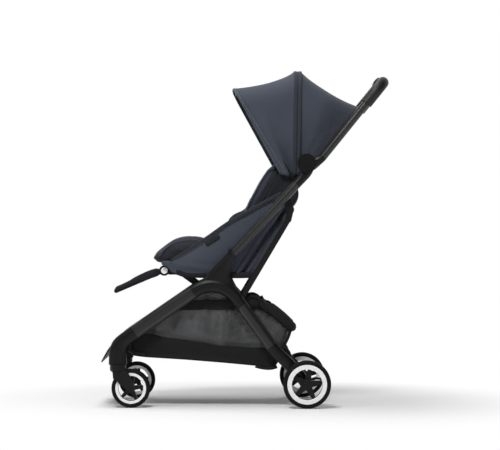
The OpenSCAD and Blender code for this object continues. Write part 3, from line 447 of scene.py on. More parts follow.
def curve_through(points, count):
    """Centripetal spline through the points, as count even steps of its own length."""
    p = np.array(points, float)
    p = np.vstack([2 * p[0] - p[1], p, 2 * p[-1] - p[-2]])
    fine = []
    for k in range(1, len(p) - 2):
        a, b, c, d = p[k - 1 : k + 3]
        knots = np.cumsum([0] + [max(np.linalg.norm(y - x), 1e-6) ** 0.5 for x, y in ((a, b), (b, c), (c, d))])
        for t in np.linspace(knots[1], knots[2], 24, endpoint=False):
            one = [((knots[i + 1] - t) * u + (t - knots[i]) * v) / (knots[i + 1] - knots[i])
                   for i, (u, v) in enumerate(((a, b), (b, c), (c, d)))]
            two = [((knots[i + 2] - t) * one[i] + (t - knots[i]) * one[i + 1]) / (knots[i + 2] - knots[i])
                   for i in (0, 1)]
            fine.append(((knots[2] - t) * two[0] + (t - knots[1]) * two[1]) / (knots[2] - knots[1]))
    return evenly(fine + [p[-2]], count)


def evenly(points, count):
    points = np.array(points, float)
    run = np.concatenate([[0], np.cumsum(np.linalg.norm(np.diff(points, axis=0), axis=1))])
    want = np.linspace(0, run[-1], count)
    return np.stack([np.interp(want, run, points[:, k]) for k in range(points.shape[1])], axis=1)


def new_object(name, mesh):
    piece = bpy.data.objects.new(name, mesh)
    scene.collection.objects.link(piece)
    return piece


def grid_mesh(name, rows, closed=False, flip=False):
    """A mesh of quads from rows of points in millimetres, with a UV map in metres. closed joins each row's ends."""
    rows = np.array(rows, float) * MM
    n, m = rows.shape[:2]
    mesh = bpy.data.meshes.new(name)
    cells = [(i, j) for i in range(n - 1) for j in range(m if closed else m - 1)]
    order = slice(None, None, -1 if flip else 1)
    faces = [[i * m + j, i * m + (j + 1) % m, (i + 1) * m + (j + 1) % m, (i + 1) * m + j][order] for i, j in cells]
    mesh.from_pydata(rows.reshape(-1, 3).tolist(), [], faces)
    across = np.concatenate([[0], np.cumsum(np.linalg.norm(np.diff(rows, axis=1), axis=2).max(axis=0))])
    if closed:
        across = np.append(across, across[-1] + np.linalg.norm(rows[:, 0] - rows[:, -1], axis=1).max())
    along = np.concatenate([[0], np.cumsum(np.linalg.norm(np.diff(rows, axis=0), axis=2).max(axis=1))])
    corners = [corner for i, j in cells for corner in [(j, i), (j + 1, i), (j + 1, i + 1), (j, i + 1)][order]]
    for loop, (a, b) in zip(mesh.uv_layers.new(name="cloth").data, corners):
        loop.uv = (across[a], along[b])
    mesh.update()
    return mesh


def plain(piece):
    """Applies the piece's modifiers: its evaluated shape becomes its mesh."""
    graph = bpy.context.evaluated_depsgraph_get()
    graph.update()
    mesh = bpy.data.meshes.new_from_object(piece.evaluated_get(graph), preserve_all_data_layers=True, depsgraph=graph)
    piece.modifiers.clear()
    piece.data = mesh
    return piece


def shade(piece, finish):
    piece.data.materials.clear()
    piece.data.materials.append(finish)
    for face in piece.data.polygons:
        face.use_smooth = True
    return piece


def cloth_sheet(name, rows, finish, thick, offset=-1.0, flip=False, closed=False):
    piece = new_object(name, grid_mesh(name, rows, closed, flip))
    wall = piece.modifiers.new("wall", "SOLIDIFY")
    wall.thickness, wall.offset = thick * MM, offset
    return shade(plain(piece), finish)


def sheet_pair(name, rows_of, finish, thick, flip):
    """The same sheet on both sides. flip names the side whose faces turn over, so that both grow inwards."""
    return {side: cloth_sheet(f"{name}_{side}", rows_of(sign), finish, thick, flip=side == flip)
            for side, sign in SIDES.items()}


def cut_size(rows):
    """Width, length and area in metres of the flat cut that the rows were made from."""
    rows = np.array(rows, float) * MM
    width = np.linalg.norm(np.diff(rows, axis=1), axis=2).sum(axis=1).max()
    length = np.linalg.norm(np.diff(rows, axis=0), axis=2).sum(axis=0).max()
    a, b = rows[1:, 1:] - rows[:-1, :-1], rows[1:, :-1] - rows[:-1, 1:]
    area = np.linalg.norm(np.cross(a, b), axis=2).sum() / 2
    return (float(width), float(length)), float(min(area, width * length))


def declare_sheet(piece, rows):
    flat, area = cut_size(rows)
    print(f"{piece.name}: cut {flat[0]:.3f} x {flat[1]:.3f} m, {area:.3f} m2")


def tube_rows(path, radius, sides=10, flat=1.0, up=(0, 1, 0)):
    """Rings round a path: radius across, radius * flat towards up, which stands square to the path's plane."""
    path = np.array(path, float)
    along = np.gradient(path, axis=0)
    along /= np.linalg.norm(along, axis=1)[:, None]
    up = np.array(up, float) - along * (along @ np.array(up, float))[:, None]
    up /= np.linalg.norm(up, axis=1)[:, None]
    across = np.cross(along, up)
    r = np.broadcast_to(np.array(radius, float), (len(path),))[:, None]
    turn = [2 * math.pi * k / sides for k in range(sides)]
    return np.stack([path + r * (math.cos(t) * across + flat * math.sin(t) * up) for t in turn], axis=1)


def loft(name, sections, finish):
    """A closed solid through rings of points in millimetres, all with the same count, with a face at each end."""
    mesh = grid_mesh(name, sections, closed=True)
    sides = len(sections[0])
    bm = bmesh.new()
    bm.from_mesh(mesh)
    bm.verts.ensure_lookup_table()
    count = len(bm.verts)
    for ring in (list(range(sides))[::-1], list(range(count - sides, count))):
        bm.faces.new([bm.verts[k] for k in ring])
    bmesh.ops.recalc_face_normals(bm, faces=bm.faces)
    bm.to_mesh(mesh)
    bm.free()
    return shade(new_object(name, mesh), finish)


def welt(name, path, radius, finish, sides=10, flat=1.0):
    """A bound edge, piping or rolled hem: a closed tube along a path in millimetres."""
    return loft(name, tube_rows(path, radius, sides, flat), finish)


def ribbon(name, path, half, lean=(0, 1, 0)):
    """A flat strap along a path, half wide to each side of it along lean."""
    path, lean = np.array(path, float), np.array(lean, float)
    rows = [[p + lean * half * w for w in (-1, -0.5, 0, 0.5, 1)] for p in path]
    return cloth_sheet(name, rows, STRAP, 1.6, offset=0.0)


# %% [markdown]
# ## Padding
# A pad is a closed bag of cloth with foam in it, so its faces swell between the seams. The bag is remeshed to even
# squares, a cloth simulation blows it up a little from inside, and no point may move further than a cap.
# Seams and sewn channels come after that, because a remesh would wipe them out.

# %% Inflate a pad
SWELL_FRAMES = 20


def inflate(piece, voxel, pressure, cap):
    grid = piece.modifiers.new("grid", "REMESH")
    grid.mode, grid.voxel_size = "VOXEL", voxel * MM
    plain(piece)
    start = np.zeros(len(piece.data.vertices) * 3)
    piece.data.vertices.foreach_get("co", start)
    bag = piece.modifiers.new("bag", "CLOTH")
    bag.settings.use_pressure = True
    bag.settings.uniform_pressure_force = pressure
    bag.settings.effector_weights.gravity = 0
    bag.settings.quality = 4
    bag.point_cache.frame_start, bag.point_cache.frame_end = 1, SWELL_FRAMES
    for step in range(1, SWELL_FRAMES + 1):
        scene.frame_set(step)
    plain(piece)
    scene.frame_set(1)
    now = np.zeros_like(start)
    piece.data.vertices.foreach_get("co", now)
    move = (now - start).reshape(-1, 3)
    far = np.linalg.norm(move, axis=1)[:, None]
    move *= np.minimum(1, cap * MM / np.maximum(far, 1e-9))
    piece.data.vertices.foreach_set("co", (start.reshape(-1, 3) + move).ravel())
    print(f"{piece.name}: swelled up to {min(far.max() / MM, cap):.1f} mm")
    rounder = piece.modifiers.new("rounder", "SUBSURF")
    rounder.levels = rounder.render_levels = 1
    plain(piece)


def sculpt(piece, move):
    """Moves each point of a piece by what move(x, y, z) says, in millimetres."""
    co = np.zeros(len(piece.data.vertices) * 3)
    piece.data.vertices.foreach_get("co", co)
    co = co.reshape(-1, 3) / MM
    co += np.array([move(*p) for p in co])
    piece.data.vertices.foreach_set("co", (co * MM).ravel())
    piece.data.update()


def box_uv(piece):
    """A UV map in metres for a remeshed pad: each face is laid flat along the axis that it faces."""
    mesh = piece.data
    layer = mesh.uv_layers.get("cloth") or mesh.uv_layers.new(name="cloth")
    for face in mesh.polygons:
        side = int(np.argmax(np.abs(np.array(face.normal))))
        keep = [k for k in range(3) if k != side]
        for k in face.loop_indices:
            co = mesh.vertices[mesh.loops[k].vertex_index].co
            layer.data[k].uv = (co[keep[0]], co[keep[1]])


def foam_pad(name, sections, finish, voxel, pressure, cap, channels=None):
    """A swollen pad through the sections. channels(x, y, z) says how far its sewn lines press each point in."""
    piece = loft(name, sections, finish)
    inflate(piece, voxel, pressure, cap)
    if channels:
        sculpt(piece, channels)
    box_uv(piece)
    return shade(piece, finish)


def paint_flank_shade(piece, inside):
    """Paints shade on a pad's side faces where inside(x, z) says so: they take the dark hem tape's colour."""
    piece.data.materials.append(HEM_TAPE_AND_FLANK_SHADE)
    for face in piece.data.polygons:
        if abs(face.normal.y) > 0.55 and inside(face.center.x / MM, face.center.z / MM):
            face.material_index = 1


# %% [markdown]
# ## Canopy
# The canopy is a fan of cloth on three supports: a front bow, a middle bow and the handle tubes. Between the bows it
# is pulled tight, so it sags inwards like a tent. Each panel is one curved sheet: a hoop of cloth runs up one side,
# over the top and down the other side, at every angle of the fan.

# %% Hoops of the canopy
PIVOT = np.array([158.3, 697.4])
HALF, CORNER, CROWN = 133.0, 62.0, 3.0
SIDE_STEPS, CORNER_STEPS, PANEL_STEPS = 22, 8, 30
FRONT_A, MID_A, REAR_A = 123.1, 89.0, 50.6
FRONT_R, MID_R, REAR_R = 356.0, 350.5, 315.0
REAR_HALF = 86.0
SPREAD = 0.8
PANEL_DEPTH = 215
FLARE, VISOR = 13.0, 14.0


def hoop(reach, half, low, angle, pinch=0.0, shift=0.0, flare=0.0, foot=0.0, tuck=0.0):
    """Points from one side's pivot over the top to the other's, in the plane at that angle.

    pinch draws the sides in and tuck their low part, shift moves the hoop sideways and flare its low ends by more,
    and foot sets the low ends wider apart.
    """
    flat = []
    for k in range(SIDE_STEPS):
        t = k / SIDE_STEPS
        rho = low + (reach - CORNER - low) * t
        wide = half + foot * smooth_step((220 - rho) / 160)
        drawn = pinch * math.sin(math.pi * min(1, t * 1.05)) ** 1.3
        flat.append((rho, -wide + drawn + tuck * smooth_step((150 - rho) / 120)))
    for k in range(CORNER_STEPS + 1):
        turn = math.radians(90 * k / CORNER_STEPS)
        flat.append((reach - CORNER + CORNER * math.sin(turn), -half + CORNER - CORNER * math.cos(turn)))
    for k in range(1, 8):
        y = (-half + CORNER) * (1 - k / 7.5)
        flat.append((reach + CROWN * (1 - (y / (half - CORNER)) ** 2), y))
    flat += [(rho, -y) for rho, y in flat[::-1]]
    points = []
    for rho, y in flat:
        x, z = PIVOT + rho * heading(angle) + (shift + flare * (1 - rho / reach)) * heading(angle + 90)
        points.append([x, y, z])
    return np.array(points)


def panel_rows(a1, r1, a2, r2, sag, pinch, last_half=HALF, flare=0.0, tuck=0.0, peak_at=1.0):
    """Hoops from one support to the next. The cloth peaks where it goes over the middle bow, at t = peak_at."""
    rows = []
    for k in range(PANEL_STEPS + 1):
        t = k / PANEL_STEPS
        hang = 4 * t * (1 - t)
        off = abs(t - peak_at) * PANEL_DEPTH
        peak = 7.0 * math.exp((9 - off) / 13) if off > 9 else off * 8 / 9 - 1
        close = (HALF - last_half) * (0.14 * t + 0.86 * smooth_step((t - 0.42) / 0.75) / smooth_step(0.58 / 0.75))
        reach = r1 + (r2 - r1) * t - sag * hang + peak
        drawn = hang * smooth_step((abs(t - 1 + peak_at) - 0.12) / 0.3)
        rows.append(hoop(reach, HALF - close, 30, a1 + (a2 - a1) * t, pinch * drawn, flare=flare * (1 - t) ** 2,
                         foot=close * SPREAD, tuck=tuck * drawn))
    return rows


front_rows = panel_rows(FRONT_A, FRONT_R, MID_A + 0.2, MID_R, 25, 9, flare=FLARE, tuck=22)
rear_rows = panel_rows(MID_A - 0.2, MID_R, REAR_A, REAR_R, 28, 6, REAR_HALF, peak_at=0.0)
visor_rows = [hoop(FRONT_R + 0.2, HALF - 1.6 * q, 34 + 14 * q, FRONT_A, shift=3.5 * q, flare=FLARE + VISOR * q)
              for q in np.linspace(0, 1, 5)]
canopy_visor = cloth_sheet("canopy_visor_strip", visor_rows, BLUE, 1.0)
canopy_front = cloth_sheet("canopy_front_panel", front_rows, BLUE, 1.4, flip=True)
canopy_rear = cloth_sheet("canopy_rear_panel", rear_rows, BLUE, 1.4, flip=True)

# %% [markdown]
# A zip joins the two panels over the middle bow. Its tapes keep one width from the pivot to the top, while the panels
# fan out. The tapes are a shallow trough with bound edges, and the closed zip lies in it as one dark line.

# %% Zip band and bound edges
TROUGH = ((-10.5, 0.0), (-9.6, 1.8), (-8.2, 1.4), (-4, 0.9), (-1.6, 0.8), (0, -1.0), (1.6, 0.8), (4, 0.9), (8.2, 1.4),
          (9.6, 1.8), (10.5, 0.0))
tape_rows = [hoop(MID_R + 0.6 + lift, HALF + 0.6 + lift, 24, MID_A, shift=shift) for shift, lift in TROUGH]
canopy_zip = cloth_sheet("canopy_zip_tape", tape_rows, TAPE, 1.0, flip=True)

# The canopy's front and visor piping carry a painted highlight on the lit front edge.
front_welt = welt("canopy_front_piping", hoop(FRONT_R + 0.4, HALF + 0.4, 34, FRONT_A, flare=FLARE), 2.0, HIGHLIT_PIPING, 8)
visor_welt = welt("canopy_visor_piping", hoop(FRONT_R + 0.2, HALF - 1.6, 50, FRONT_A, shift=3.5, flare=FLARE + VISOR),
                  1.6, HIGHLIT_PIPING, 6)
zip_welts = [welt(f"canopy_zip_edge_{k}", hoop(MID_R + 1.0, HALF + 1.0, 30, MID_A, shift=shift), 1.5, PIPING, 8)
             for k, shift in (("front", 11.0), ("rear", -11.0))]
zip_line = welt("canopy_zip_coil", hoop(MID_R + 0.4, HALF + 0.4, 36, MID_A), 1.3, NYLON, 6)
rear_edge = hoop(REAR_R + 0.4, REAR_HALF + 0.2, 44, REAR_A, foot=(HALF - REAR_HALF) * SPREAD)
rear_welt = welt("canopy_rear_binding", rear_edge, 2.0, PIPING, 8)

# %% [markdown]
# ## Seat shell
# One piece of cloth makes each side of the seat: it is bound with dark tape along its upper edge, from the front
# corner up to the frame tube, and it turns in at the rear to meet the cloth behind the backrest. The spare cloth that
# reclining needs lies in long creases between the frame tube and the link bar.

# %% Side panels
HEM_TOP = [(-232, 453), (-180, 486), (-122.6, 524), (-46.4, 577), (-3.4, 600.7), (50, 631), (112, 665)]
HEM_LOW = [(-236, 446), (-216, 420), (-190, 411), (-150, 409), (-80, 408), (-20, 408), (24, 409)]
SHELL_REAR = [(24, 409), (42, 436), (66, 480), (90, 520), (112, 560), (127, 600), (131, 640), (112, 665)]
SHELL_FRONT = [(-236, 446), (-234.5, 448.5), (-233, 451), (-232, 453)]
SHELL_Y, SHELL_BULGE, REAR_TURN_IN = 152.0, 9.0, 34
VALLEY, VALLEY_A = np.array([96.0, 574.5]), 55.7


def patch(low, top, left, right, columns, lines):
    """A surface between four edges: each point mixes the edges that it lies between."""
    low, top = curve_through(low, columns), curve_through(top, columns)
    left, right = evenly(left, lines), curve_through(right, lines)
    out = []
    for i in range(lines):
        q = i / (lines - 1)
        line = []
        for j in range(columns):
            s = j / (columns - 1)
            corners = (1 - s) * (1 - q) * low[0] + s * (1 - q) * low[-1] + (1 - s) * q * top[0] + s * q * top[-1]
            line.append((1 - q) * low[j] + q * top[j] + (1 - s) * left[i] + s * right[i] - corners)
        out.append(line)
    return np.array(out)


def crease(x, z, s):
    """How far in the cloth lies, in millimetres.

    There is one deep fold beside the frame tube, a lit ridge on each side of it and smaller folds before it.
    """
    beside = float((np.array([x, z]) - VALLEY) @ heading(VALLEY_A - 90)) + 2.5 * math.sin(z / 38)
    low = smooth_step((470 - z) / 60)
    valley = 26 * bump_at(beside, 0, 6.5) * smooth_step((640 - z) / 40)
    ridge = -7.0 * bump_at(beside, 17, 7.5) - 4.0 * bump_at(beside, -13, 6.0)
    small = 4.2 * bump_at(beside, -21, 5.5) + 3.0 * bump_at(beside, -39, 8) * low
    sag = 2.2 * low * math.sin((z + 0.18 * x) / 5.5) * smooth_step((z - 414) / 8)
    return valley + ridge + small + sag * smooth_step((0.4 - abs(s - 0.3)) / 0.3)


def side_rows(sign):
    flat = patch(HEM_LOW, HEM_TOP, SHELL_FRONT, SHELL_REAR, 84, 34)
    rows = []
    for i, line in enumerate(flat):
        q = i / (len(flat) - 1)
        row = []
        for j, (x, z) in enumerate(line):
            s = j / (len(line) - 1)
            turn_in = smooth_step((s - 0.88) / 0.12) * REAR_TURN_IN
            bulge = SHELL_BULGE * math.sin(math.pi * q ** 0.8) * math.sin(math.pi * min(1, 0.08 + s * 1.2))
            row.append((x, sign * (SHELL_Y + bulge - crease(x, z, s) - turn_in), z))
        rows.append(row)
    return rows


side_sheets = sheet_pair("side_panel", side_rows, BLUE, 1.5, flip="right")

# %% [markdown]
# The upper hem is folded tape, ten millimetres wide, sewn over the raw edge. The lower hem is a dark padded band.
# A small flap of the same blue cloth closes the corner over the leg rest joint, and a bare woven patch is sewn
# below the hem.

# %% Hems, corner flap and bare patch
TAPE_HALF, LINE_HALF, BAND_HALF, HEM_FLAT = 5.4, 1.3, 9.5, 0.42
hem_pieces = {}
for side, sign in SIDES.items():
    top_edge = at_side(curve_through(HEM_TOP, 70), sign * (SHELL_Y + 0.4))
    low_edge = at_side(curve_through(HEM_LOW[1:], 50), sign * (SHELL_Y - 0.4))
    hem_pieces[side] = [
        welt(f"side_hem_upper_{side}", top_edge, TAPE_HALF, HEM_TAPE_AND_FLANK_SHADE, 12, flat=HEM_FLAT),
        welt(f"side_hem_line_{side}", top_edge + np.array([4.1, sign * 1.2, -6.9]), LINE_HALF, PIPING, 6),
        welt(f"side_hem_lower_{side}", low_edge + np.array([0, 0, 1.0]), BAND_HALF, DUSK, 12, flat=HEM_FLAT),
    ]


def flap_rows(sign):
    """The corner flap, from its upper edge down to a blunt point."""
    upper = curve_through([(-262, 452), (-244, 454.5), (-220, 450), (-195, 441)], 16)
    lower = curve_through([(-262, 441.5), (-247, 436), (-231, 421), (-212, 409)], 16)
    return [[(x, sign * (153.4 + 1.2 * math.sin(math.pi * q) - 3.5 * (1 - k / 15) ** 2), z)
             for k, (x, z) in enumerate((1 - q) * upper + q * lower)] for q in np.linspace(0, 1, 10)]


def patch_rows(sign):
    """A bare sewn patch just under the upper hem."""
    centre, along, down = np.array([-103.0, 517.0]), heading(33.5), heading(-56.5)
    rows = []
    for b in np.linspace(-6, 6, 6):
        line = [centre + a * along + b * down for a in np.linspace(-24, 24, 14)]
        rows.append([(x, sign * (156.9 + 0.15 * (b + 6)), z) for x, z in line])
    return rows


corner_flaps = sheet_pair("corner_flap", flap_rows, BLUE, 1.6, flip="left")
bare_patches = sheet_pair("bare_patch", patch_rows, STRAP, 0.8, flip="right")

# %% [markdown]
# ## Cloth behind the backrest
# It starts at the pad's top, hangs in a loose bulge behind the frame tubes, and comes back in under the seat.

# %% Back cover
COVER_LINE = [(117, 748), (140, 724), (160, 694), (167, 664), (160, 642), (144, 622), (130, 600), (112, 562), (88, 520),
              (64, 480), (40, 437), (22, 410)]
COVER_HALF = 117


def cover_rows():
    line = curve_through(COVER_LINE, 64)
    rows = []
    for i, (x, z) in enumerate(line):
        t = i / (len(line) - 1)
        row = []
        for j in range(33):
            y = -COVER_HALF + 2 * COVER_HALF * j / 32
            hung = 5.0 * math.sin(math.pi * min(1, t * 1.4)) * math.cos(y / 74)
            loose = hung + 2.2 * math.sin(y / 17 + 5 * t) * math.sin(math.pi * t)
            row.append((x + loose * 0.8 - 4, y, z - loose * 0.5))
        rows.append(row)
    return rows


back_cover = cloth_sheet("back_cover_cloth", cover_rows(), BLUE, 1.5)

# %% [markdown]
# Between the pad's rear edge and that cloth, a gusset closes each side, so no light passes behind the child's back.
# Its near-black cloth is painted shade.

# %% Back gussets
LEAN = 62.0
BACK_HINGE = np.array([-54.0, 417.0])
GUSSET_Y = 111.0


def on_back(up, out):
    return BACK_HINGE + up * heading(LEAN) + out * heading(LEAN + 90)


def gusset_rows(sign):
    """From the pad's rear edge to the back cover, both followed from the top down."""
    near = evenly([on_back(up, 7.0) for up in (382, 250, 120, 60)], 44)
    far = curve_through(COVER_LINE[:-2], 44)
    rows = []
    for q in np.linspace(0, 1, 12):
        fold = [2.6 * math.sin(math.pi * q) * math.sin(k / 3.4 + 4 * q) for k in range(44)]
        line = (1 - q) * near + q * far
        rows.append([(x - 4 * q, sign * (GUSSET_Y + 5 * q + f), z) for (x, z), f in zip(line, fold)])
    return rows


# The gussets' near-black cloth is painted shade.
gussets = sheet_pair("back_gusset", gusset_rows, DUSK, 1.4, flip="right")

# %% [markdown]
# ## Seat cushion
# The cushion is a foam bolster under the child's knees that falls away to the back. From the side it is a fat wedge
# with a piped seam along its flank. The plain wedge is lofted first, then inflated, and the seat's channels are
# pressed in afterwards.

# %% Cushion
def rounded(outline, y, half, round_by):
    """The outline drawn in towards its middle near the side faces, for a soft side edge."""
    edge = max(0.0, abs(y) - (half - round_by)) / round_by
    shrink = round_by * 0.75 * (1 - math.sqrt(max(0.0, 1 - edge * edge)))
    middle = outline.mean(axis=0)
    away = outline - middle
    reach = np.linalg.norm(away, axis=1)[:, None]
    return middle + away * np.maximum(0.1, (reach - shrink)) / reach


def slices(outline, points, half, count, round_by):
    """The closed outline through the corners, as slices from one side to the other, closer at the sides."""
    line = curve_through([*outline, outline[0]], points + 1)[:-1]
    across = [half * math.sin(math.pi / 2 * t) for t in np.linspace(-1, 1, count)]
    return [[(x, y, z) for x, z in rounded(line, y, half, round_by)] for y in across]


CUSHION = [(-294, 460), (-280, 475), (-257, 493), (-226, 515), (-203, 523.5), (-172, 527.5), (-143, 525.5), (-120, 516),
           (-98, 494), (-80, 468), (-66, 449), (-69, 430), (-110, 428), (-160, 428), (-208, 430), (-232, 447),
           (-262, 452)]
CUSHION_HALF, SEAM_IN, CHANNEL_Y, CHANNEL_X, CHANNEL_DEPTH = 144, 2.0, 62, -168, 3.2


def cushion_channels(x, y, z):
    """Two sewn channels along the seat and one across the bolster press the top in."""
    top = smooth_step((z - 470) / 20)
    groove = bump_at(abs(y), CHANNEL_Y, 3.2) + bump_at(x, CHANNEL_X, 3.4) * (abs(y) < 120)
    return (0, 0, -CHANNEL_DEPTH * groove * top)


cushion_rings = slices(CUSHION, 72, CUSHION_HALF, 31, 22)
cushion = foam_pad("seat_cushion_foam", cushion_rings, SHADED_SEAT_WEAVE, 5.0, 4.0, 5.0, cushion_channels)
# Painted shade on all of the cushion's side faces.
paint_flank_shade(cushion, lambda x, z: True)
cushion_path = [(-270, 466), (-257, 484), (-238, 500), (-216, 511), (-177, 517.5), (-143, 515), (-118, 503)]
cushion_path = curve_through(cushion_path, 40)
cushion_welts = [welt(f"cushion_piping_{side}", at_side(cushion_path, sign * (CUSHION_HALF - SEAM_IN)), 3.0, SHADED_SEAT_WEAVE)
                 for side, sign in SIDES.items()]

# %% [markdown]
# ## Backrest pad
# A long pad with a raised wing down each side, which holds the child's head and shoulders. Each cross-section is one
# closed line: flat behind, low in the middle and high at the wings. The pad leans at 62 degrees and tips about the
# seat hinge.

# %% Backrest pad
WING = [(30, 8), (70, 22), (110, 33), (150, 38), (230, 42), (300, 42), (340, 38), (368, 26), (384, 12)]
PAD_LOW, PAD_LENGTH, PAD_HALF, PAD_DEEP, PAD_BACK = 30, 354, 117, 25, 5.5
PAD_LINES, WING_FOOT, GROOVE_DEPTH = (104, 166, 228, 290), 86, 3.0


def wing_height(up):
    return float(np.interp(up, *zip(*WING)))


def pad_section(up):
    """One slice of the pad at a height up the back, as (y, out) pairs."""
    t = (up - PAD_LOW) / PAD_LENGTH
    half = PAD_HALF - 26 * smooth_step((t - 0.86) / 0.14) - 8 * smooth_step((0.1 - t) / 0.1)
    full = PAD_DEEP * smooth_step(min(1, (1 - t) / 0.07)) * smooth_step(min(1, t / 0.05 + 0.3))
    line = []
    for k in range(41):
        y = half * math.sin(math.pi / 2 * (k / 20 - 1))
        wing = smooth_step((abs(y) - half + 34) / 26)
        edge = math.sqrt(max(0.0, 1 - (max(0.0, abs(y) - half + 9) / 9) ** 2))
        deep = full * (1 - wing) + max(full, wing_height(up)) * wing
        line.append((y, PAD_BACK + deep * (0.35 + 0.65 * edge)))
    return line + [(half * math.sin(math.pi / 2 * (1 - k / 12)), PAD_BACK) for k in range(1, 24)]


def back_point(up, out, y):
    x, z = on_back(up, out)
    return (x, y, z)


def off_back(x, z):
    """How far up the back and how far out from it a point lies."""
    rel = np.array([x, z]) - BACK_HINGE
    return float(rel @ heading(LEAN)), float(rel @ heading(LEAN + 90))


def pad_channels(x, y, z):
    """Sewn lines across the middle of the pad, and one at the foot of each wing."""
    up, out = off_back(x, z)
    if out < 16:
        return (0, 0, 0)
    groove = sum(bump_at(up, line, 3.0) for line in PAD_LINES) * smooth_step((WING_FOOT + 2 - abs(y)) / 8)
    groove += bump_at(abs(y), WING_FOOT, 3.0) * smooth_step((360 - up) / 20)
    push = -GROOVE_DEPTH * groove * heading(LEAN + 90)
    return (push[0], 0, push[1])


pad_rings = [[back_point(up, out, y) for y, out in pad_section(up)]
             for up in (*np.linspace(31, 360, 44), *np.linspace(366, 383, 6))]
pad = foam_pad("backrest_pad_foam", pad_rings, SHADED_SEAT_WEAVE, 5.0, 4.0, 4.0, pad_channels)
# Painted shade on the pad's side faces, up to 26 mm out from its back.
paint_flank_shade(pad, lambda x, z: off_back(x, z)[1] < 26)
# The wing piping carries a painted highlight along the wing's lit front edge.
wing_path = [on_back(up, PAD_BACK + wing_height(up) * 0.93) for up in np.linspace(60, 372, 50)]
wing_welts = [welt(f"wing_piping_{side}", at_side(wing_path, sign * 116.5), 2.4, HIGHLIT_PIPING, 8)
              for side, sign in SIDES.items()]

# %% [markdown]
# ## Harness
# Webbing is stiff and flat, so it is modelled as a ribbon along a path, not simulated. Two shoulder straps leave the
# backrest, lie down the pad, and hang forward to the buckle on the crotch strap. A soft sleeve covers each strap
# at the shoulder.

# %% Straps
SHOULDER_Y, SHOULDER_HALF, CROTCH_HALF = 46, 12.0, 12.5

straps, sleeves = [], []
for side, sign in SIDES.items():
    y = SHOULDER_Y * sign
    path = [back_point(322, 25, y), back_point(314, 33.5, y), back_point(280, 36, y), back_point(220, 37, y * 0.98),
            back_point(190, 46, y * 0.9), (-37, y * 0.8, 593), (-63, y * 0.62, 562), (-80, y * 0.42, 521),
            (-86, y * 0.3, 506)]
    path = curve_through(path, 60)
    straps.append(ribbon(f"shoulder_strap_{side}", path, SHOULDER_HALF))
    cover = tube_rows(path[8:42], 19, 16, 0.3, up=(-0.883, 0, 0.469))
    sleeves.append(foam_pad(f"shoulder_sleeve_{side}", cover, DUSK, 3.0, 3.0, 2.5))

CREST, STRAP_A = np.array([-122.0, 512.3]), -46.85
crotch_path = [(-131, 452), (-127, 490)]
crotch_path += [CREST + d * heading(STRAP_A) + lift * heading(STRAP_A + 90)
                for d, lift in ((4, 10), (14, 12.5), (28, 13.0), (44, 11), (60, 7))]
crotch = ribbon("crotch_strap_webbing", curve_through(at_side(crotch_path, 0), 34), CROTCH_HALF)

# %% [markdown]
# ## Leg rest pad
# A thin stiff pad in a sleeve of dark cloth. It lies in the wire frame and thins towards its tip.

# %% Leg rest pad
REST_HINGE, REST_A, REST_HALF = np.array([-253.9, 423.3]), 203.0, 124
REST_SIDE = ((20, 11), (32, 16), (92, 15.5), (112, 12.5), (140, 11), (162, 10.5), (170, 7), (170, 1), (158, -2),
             (120, -3), (60, -3.5), (24, -4))
rest_line = [REST_HINGE + out * heading(REST_A) - lift * heading(REST_A + 90) for out, lift in REST_SIDE]
rest_pad = foam_pad("leg_rest_pad_sleeve", slices(rest_line, 60, REST_HALF, 25, 5), DUSK, 4.0, 3.0, 2.0)

# %% [markdown]
# ## Basket
# The basket is a bag that hangs inside the frame. Its floor and the lower part of its walls are black cloth, its walls
# above that are grey net, and a black band runs along the side between the arches. The cloth is held only at a few
# tabs, so the walls belly out between them and the net hangs in soft folds.

# %% Basket shell
FLOOR_Z = [(-360, 160), (-315, 154), (-187, 146), (-63, 136), (31, 127), (96, 121)]
RIM_Z = [(-364, 214), (-340, 234), (-300, 258), (-250, 292), (-206, 332), (-190, 356), (-70, 356), (-44, 326),
         (-24, 312), (60, 306), (100, 284), (138, 250)]
BAND_Z = [(-364, 208), (-330, 228), (-293, 225), (-235, 213), (-152, 204), (-84, 192), (8, 183), (138, 183)]
WALL_Y, WALL_STEPS = 143.0, 168
BELLY, HEM_TUCK, FLOOR_SAG = 6.0, 7, 4.0
FLOOR_HALF, FLOOR_CORNER = 149.5, 9.0


def height_at(line, x):
    return float(np.interp(x, *zip(*line)))


def footprint(t):
    """A point of the basket's outline, going round from the rear left: share of length 0..1, y, on a side wall."""
    if t < 0.4:
        return 1 - t / 0.4, -WALL_Y, True
    if t < 0.5:
        return 0.0, -WALL_Y + 2 * WALL_Y * (t - 0.4) / 0.10, False
    if t < 0.9:
        return (t - 0.5) / 0.4, WALL_Y, True
    return 1.0, WALL_Y - 2 * WALL_Y * (t - 0.9) / 0.10, False


def wall_point(t, up):
    """A point of the wall: t round the outline, up from the floor (0) over the cloth band (1) to the rim (2)."""
    share, y, flank = footprint(t)
    x_low, x_high = -356 + 450 * share, -364 + 502 * share
    floor, band, rim = height_at(FLOOR_Z, x_low), height_at(BAND_Z, x_high), height_at(RIM_Z, x_high)
    band = min(band, rim - 4)
    z = floor + (band - floor) * up if up <= 1 else band + (rim - band) * (up - 1)
    high = (z - floor) / max(rim - floor, 1)
    x = x_low + (x_high - x_low) * high
    fold = 3.0 * math.sin((x + 0.5 * z) / 13) + 1.6 * math.sin((x - 0.8 * z) / 8.5) + 1.2 * math.sin(x / 31)
    belly = math.sin(math.pi * min(1, high * 0.95)) * (BELLY + fold * smooth_step((up - 0.8) / 0.5))
    hem = HEM_TUCK * (1 - smooth_step(high / 0.12))
    if flank:
        y += math.copysign(belly - hem, y)
    else:
        x += (belly * 0.5 - hem) * (1 if share > 0.5 else -1)
        y *= 1 - 0.03 * (1 - high)
    return (x, y, z)


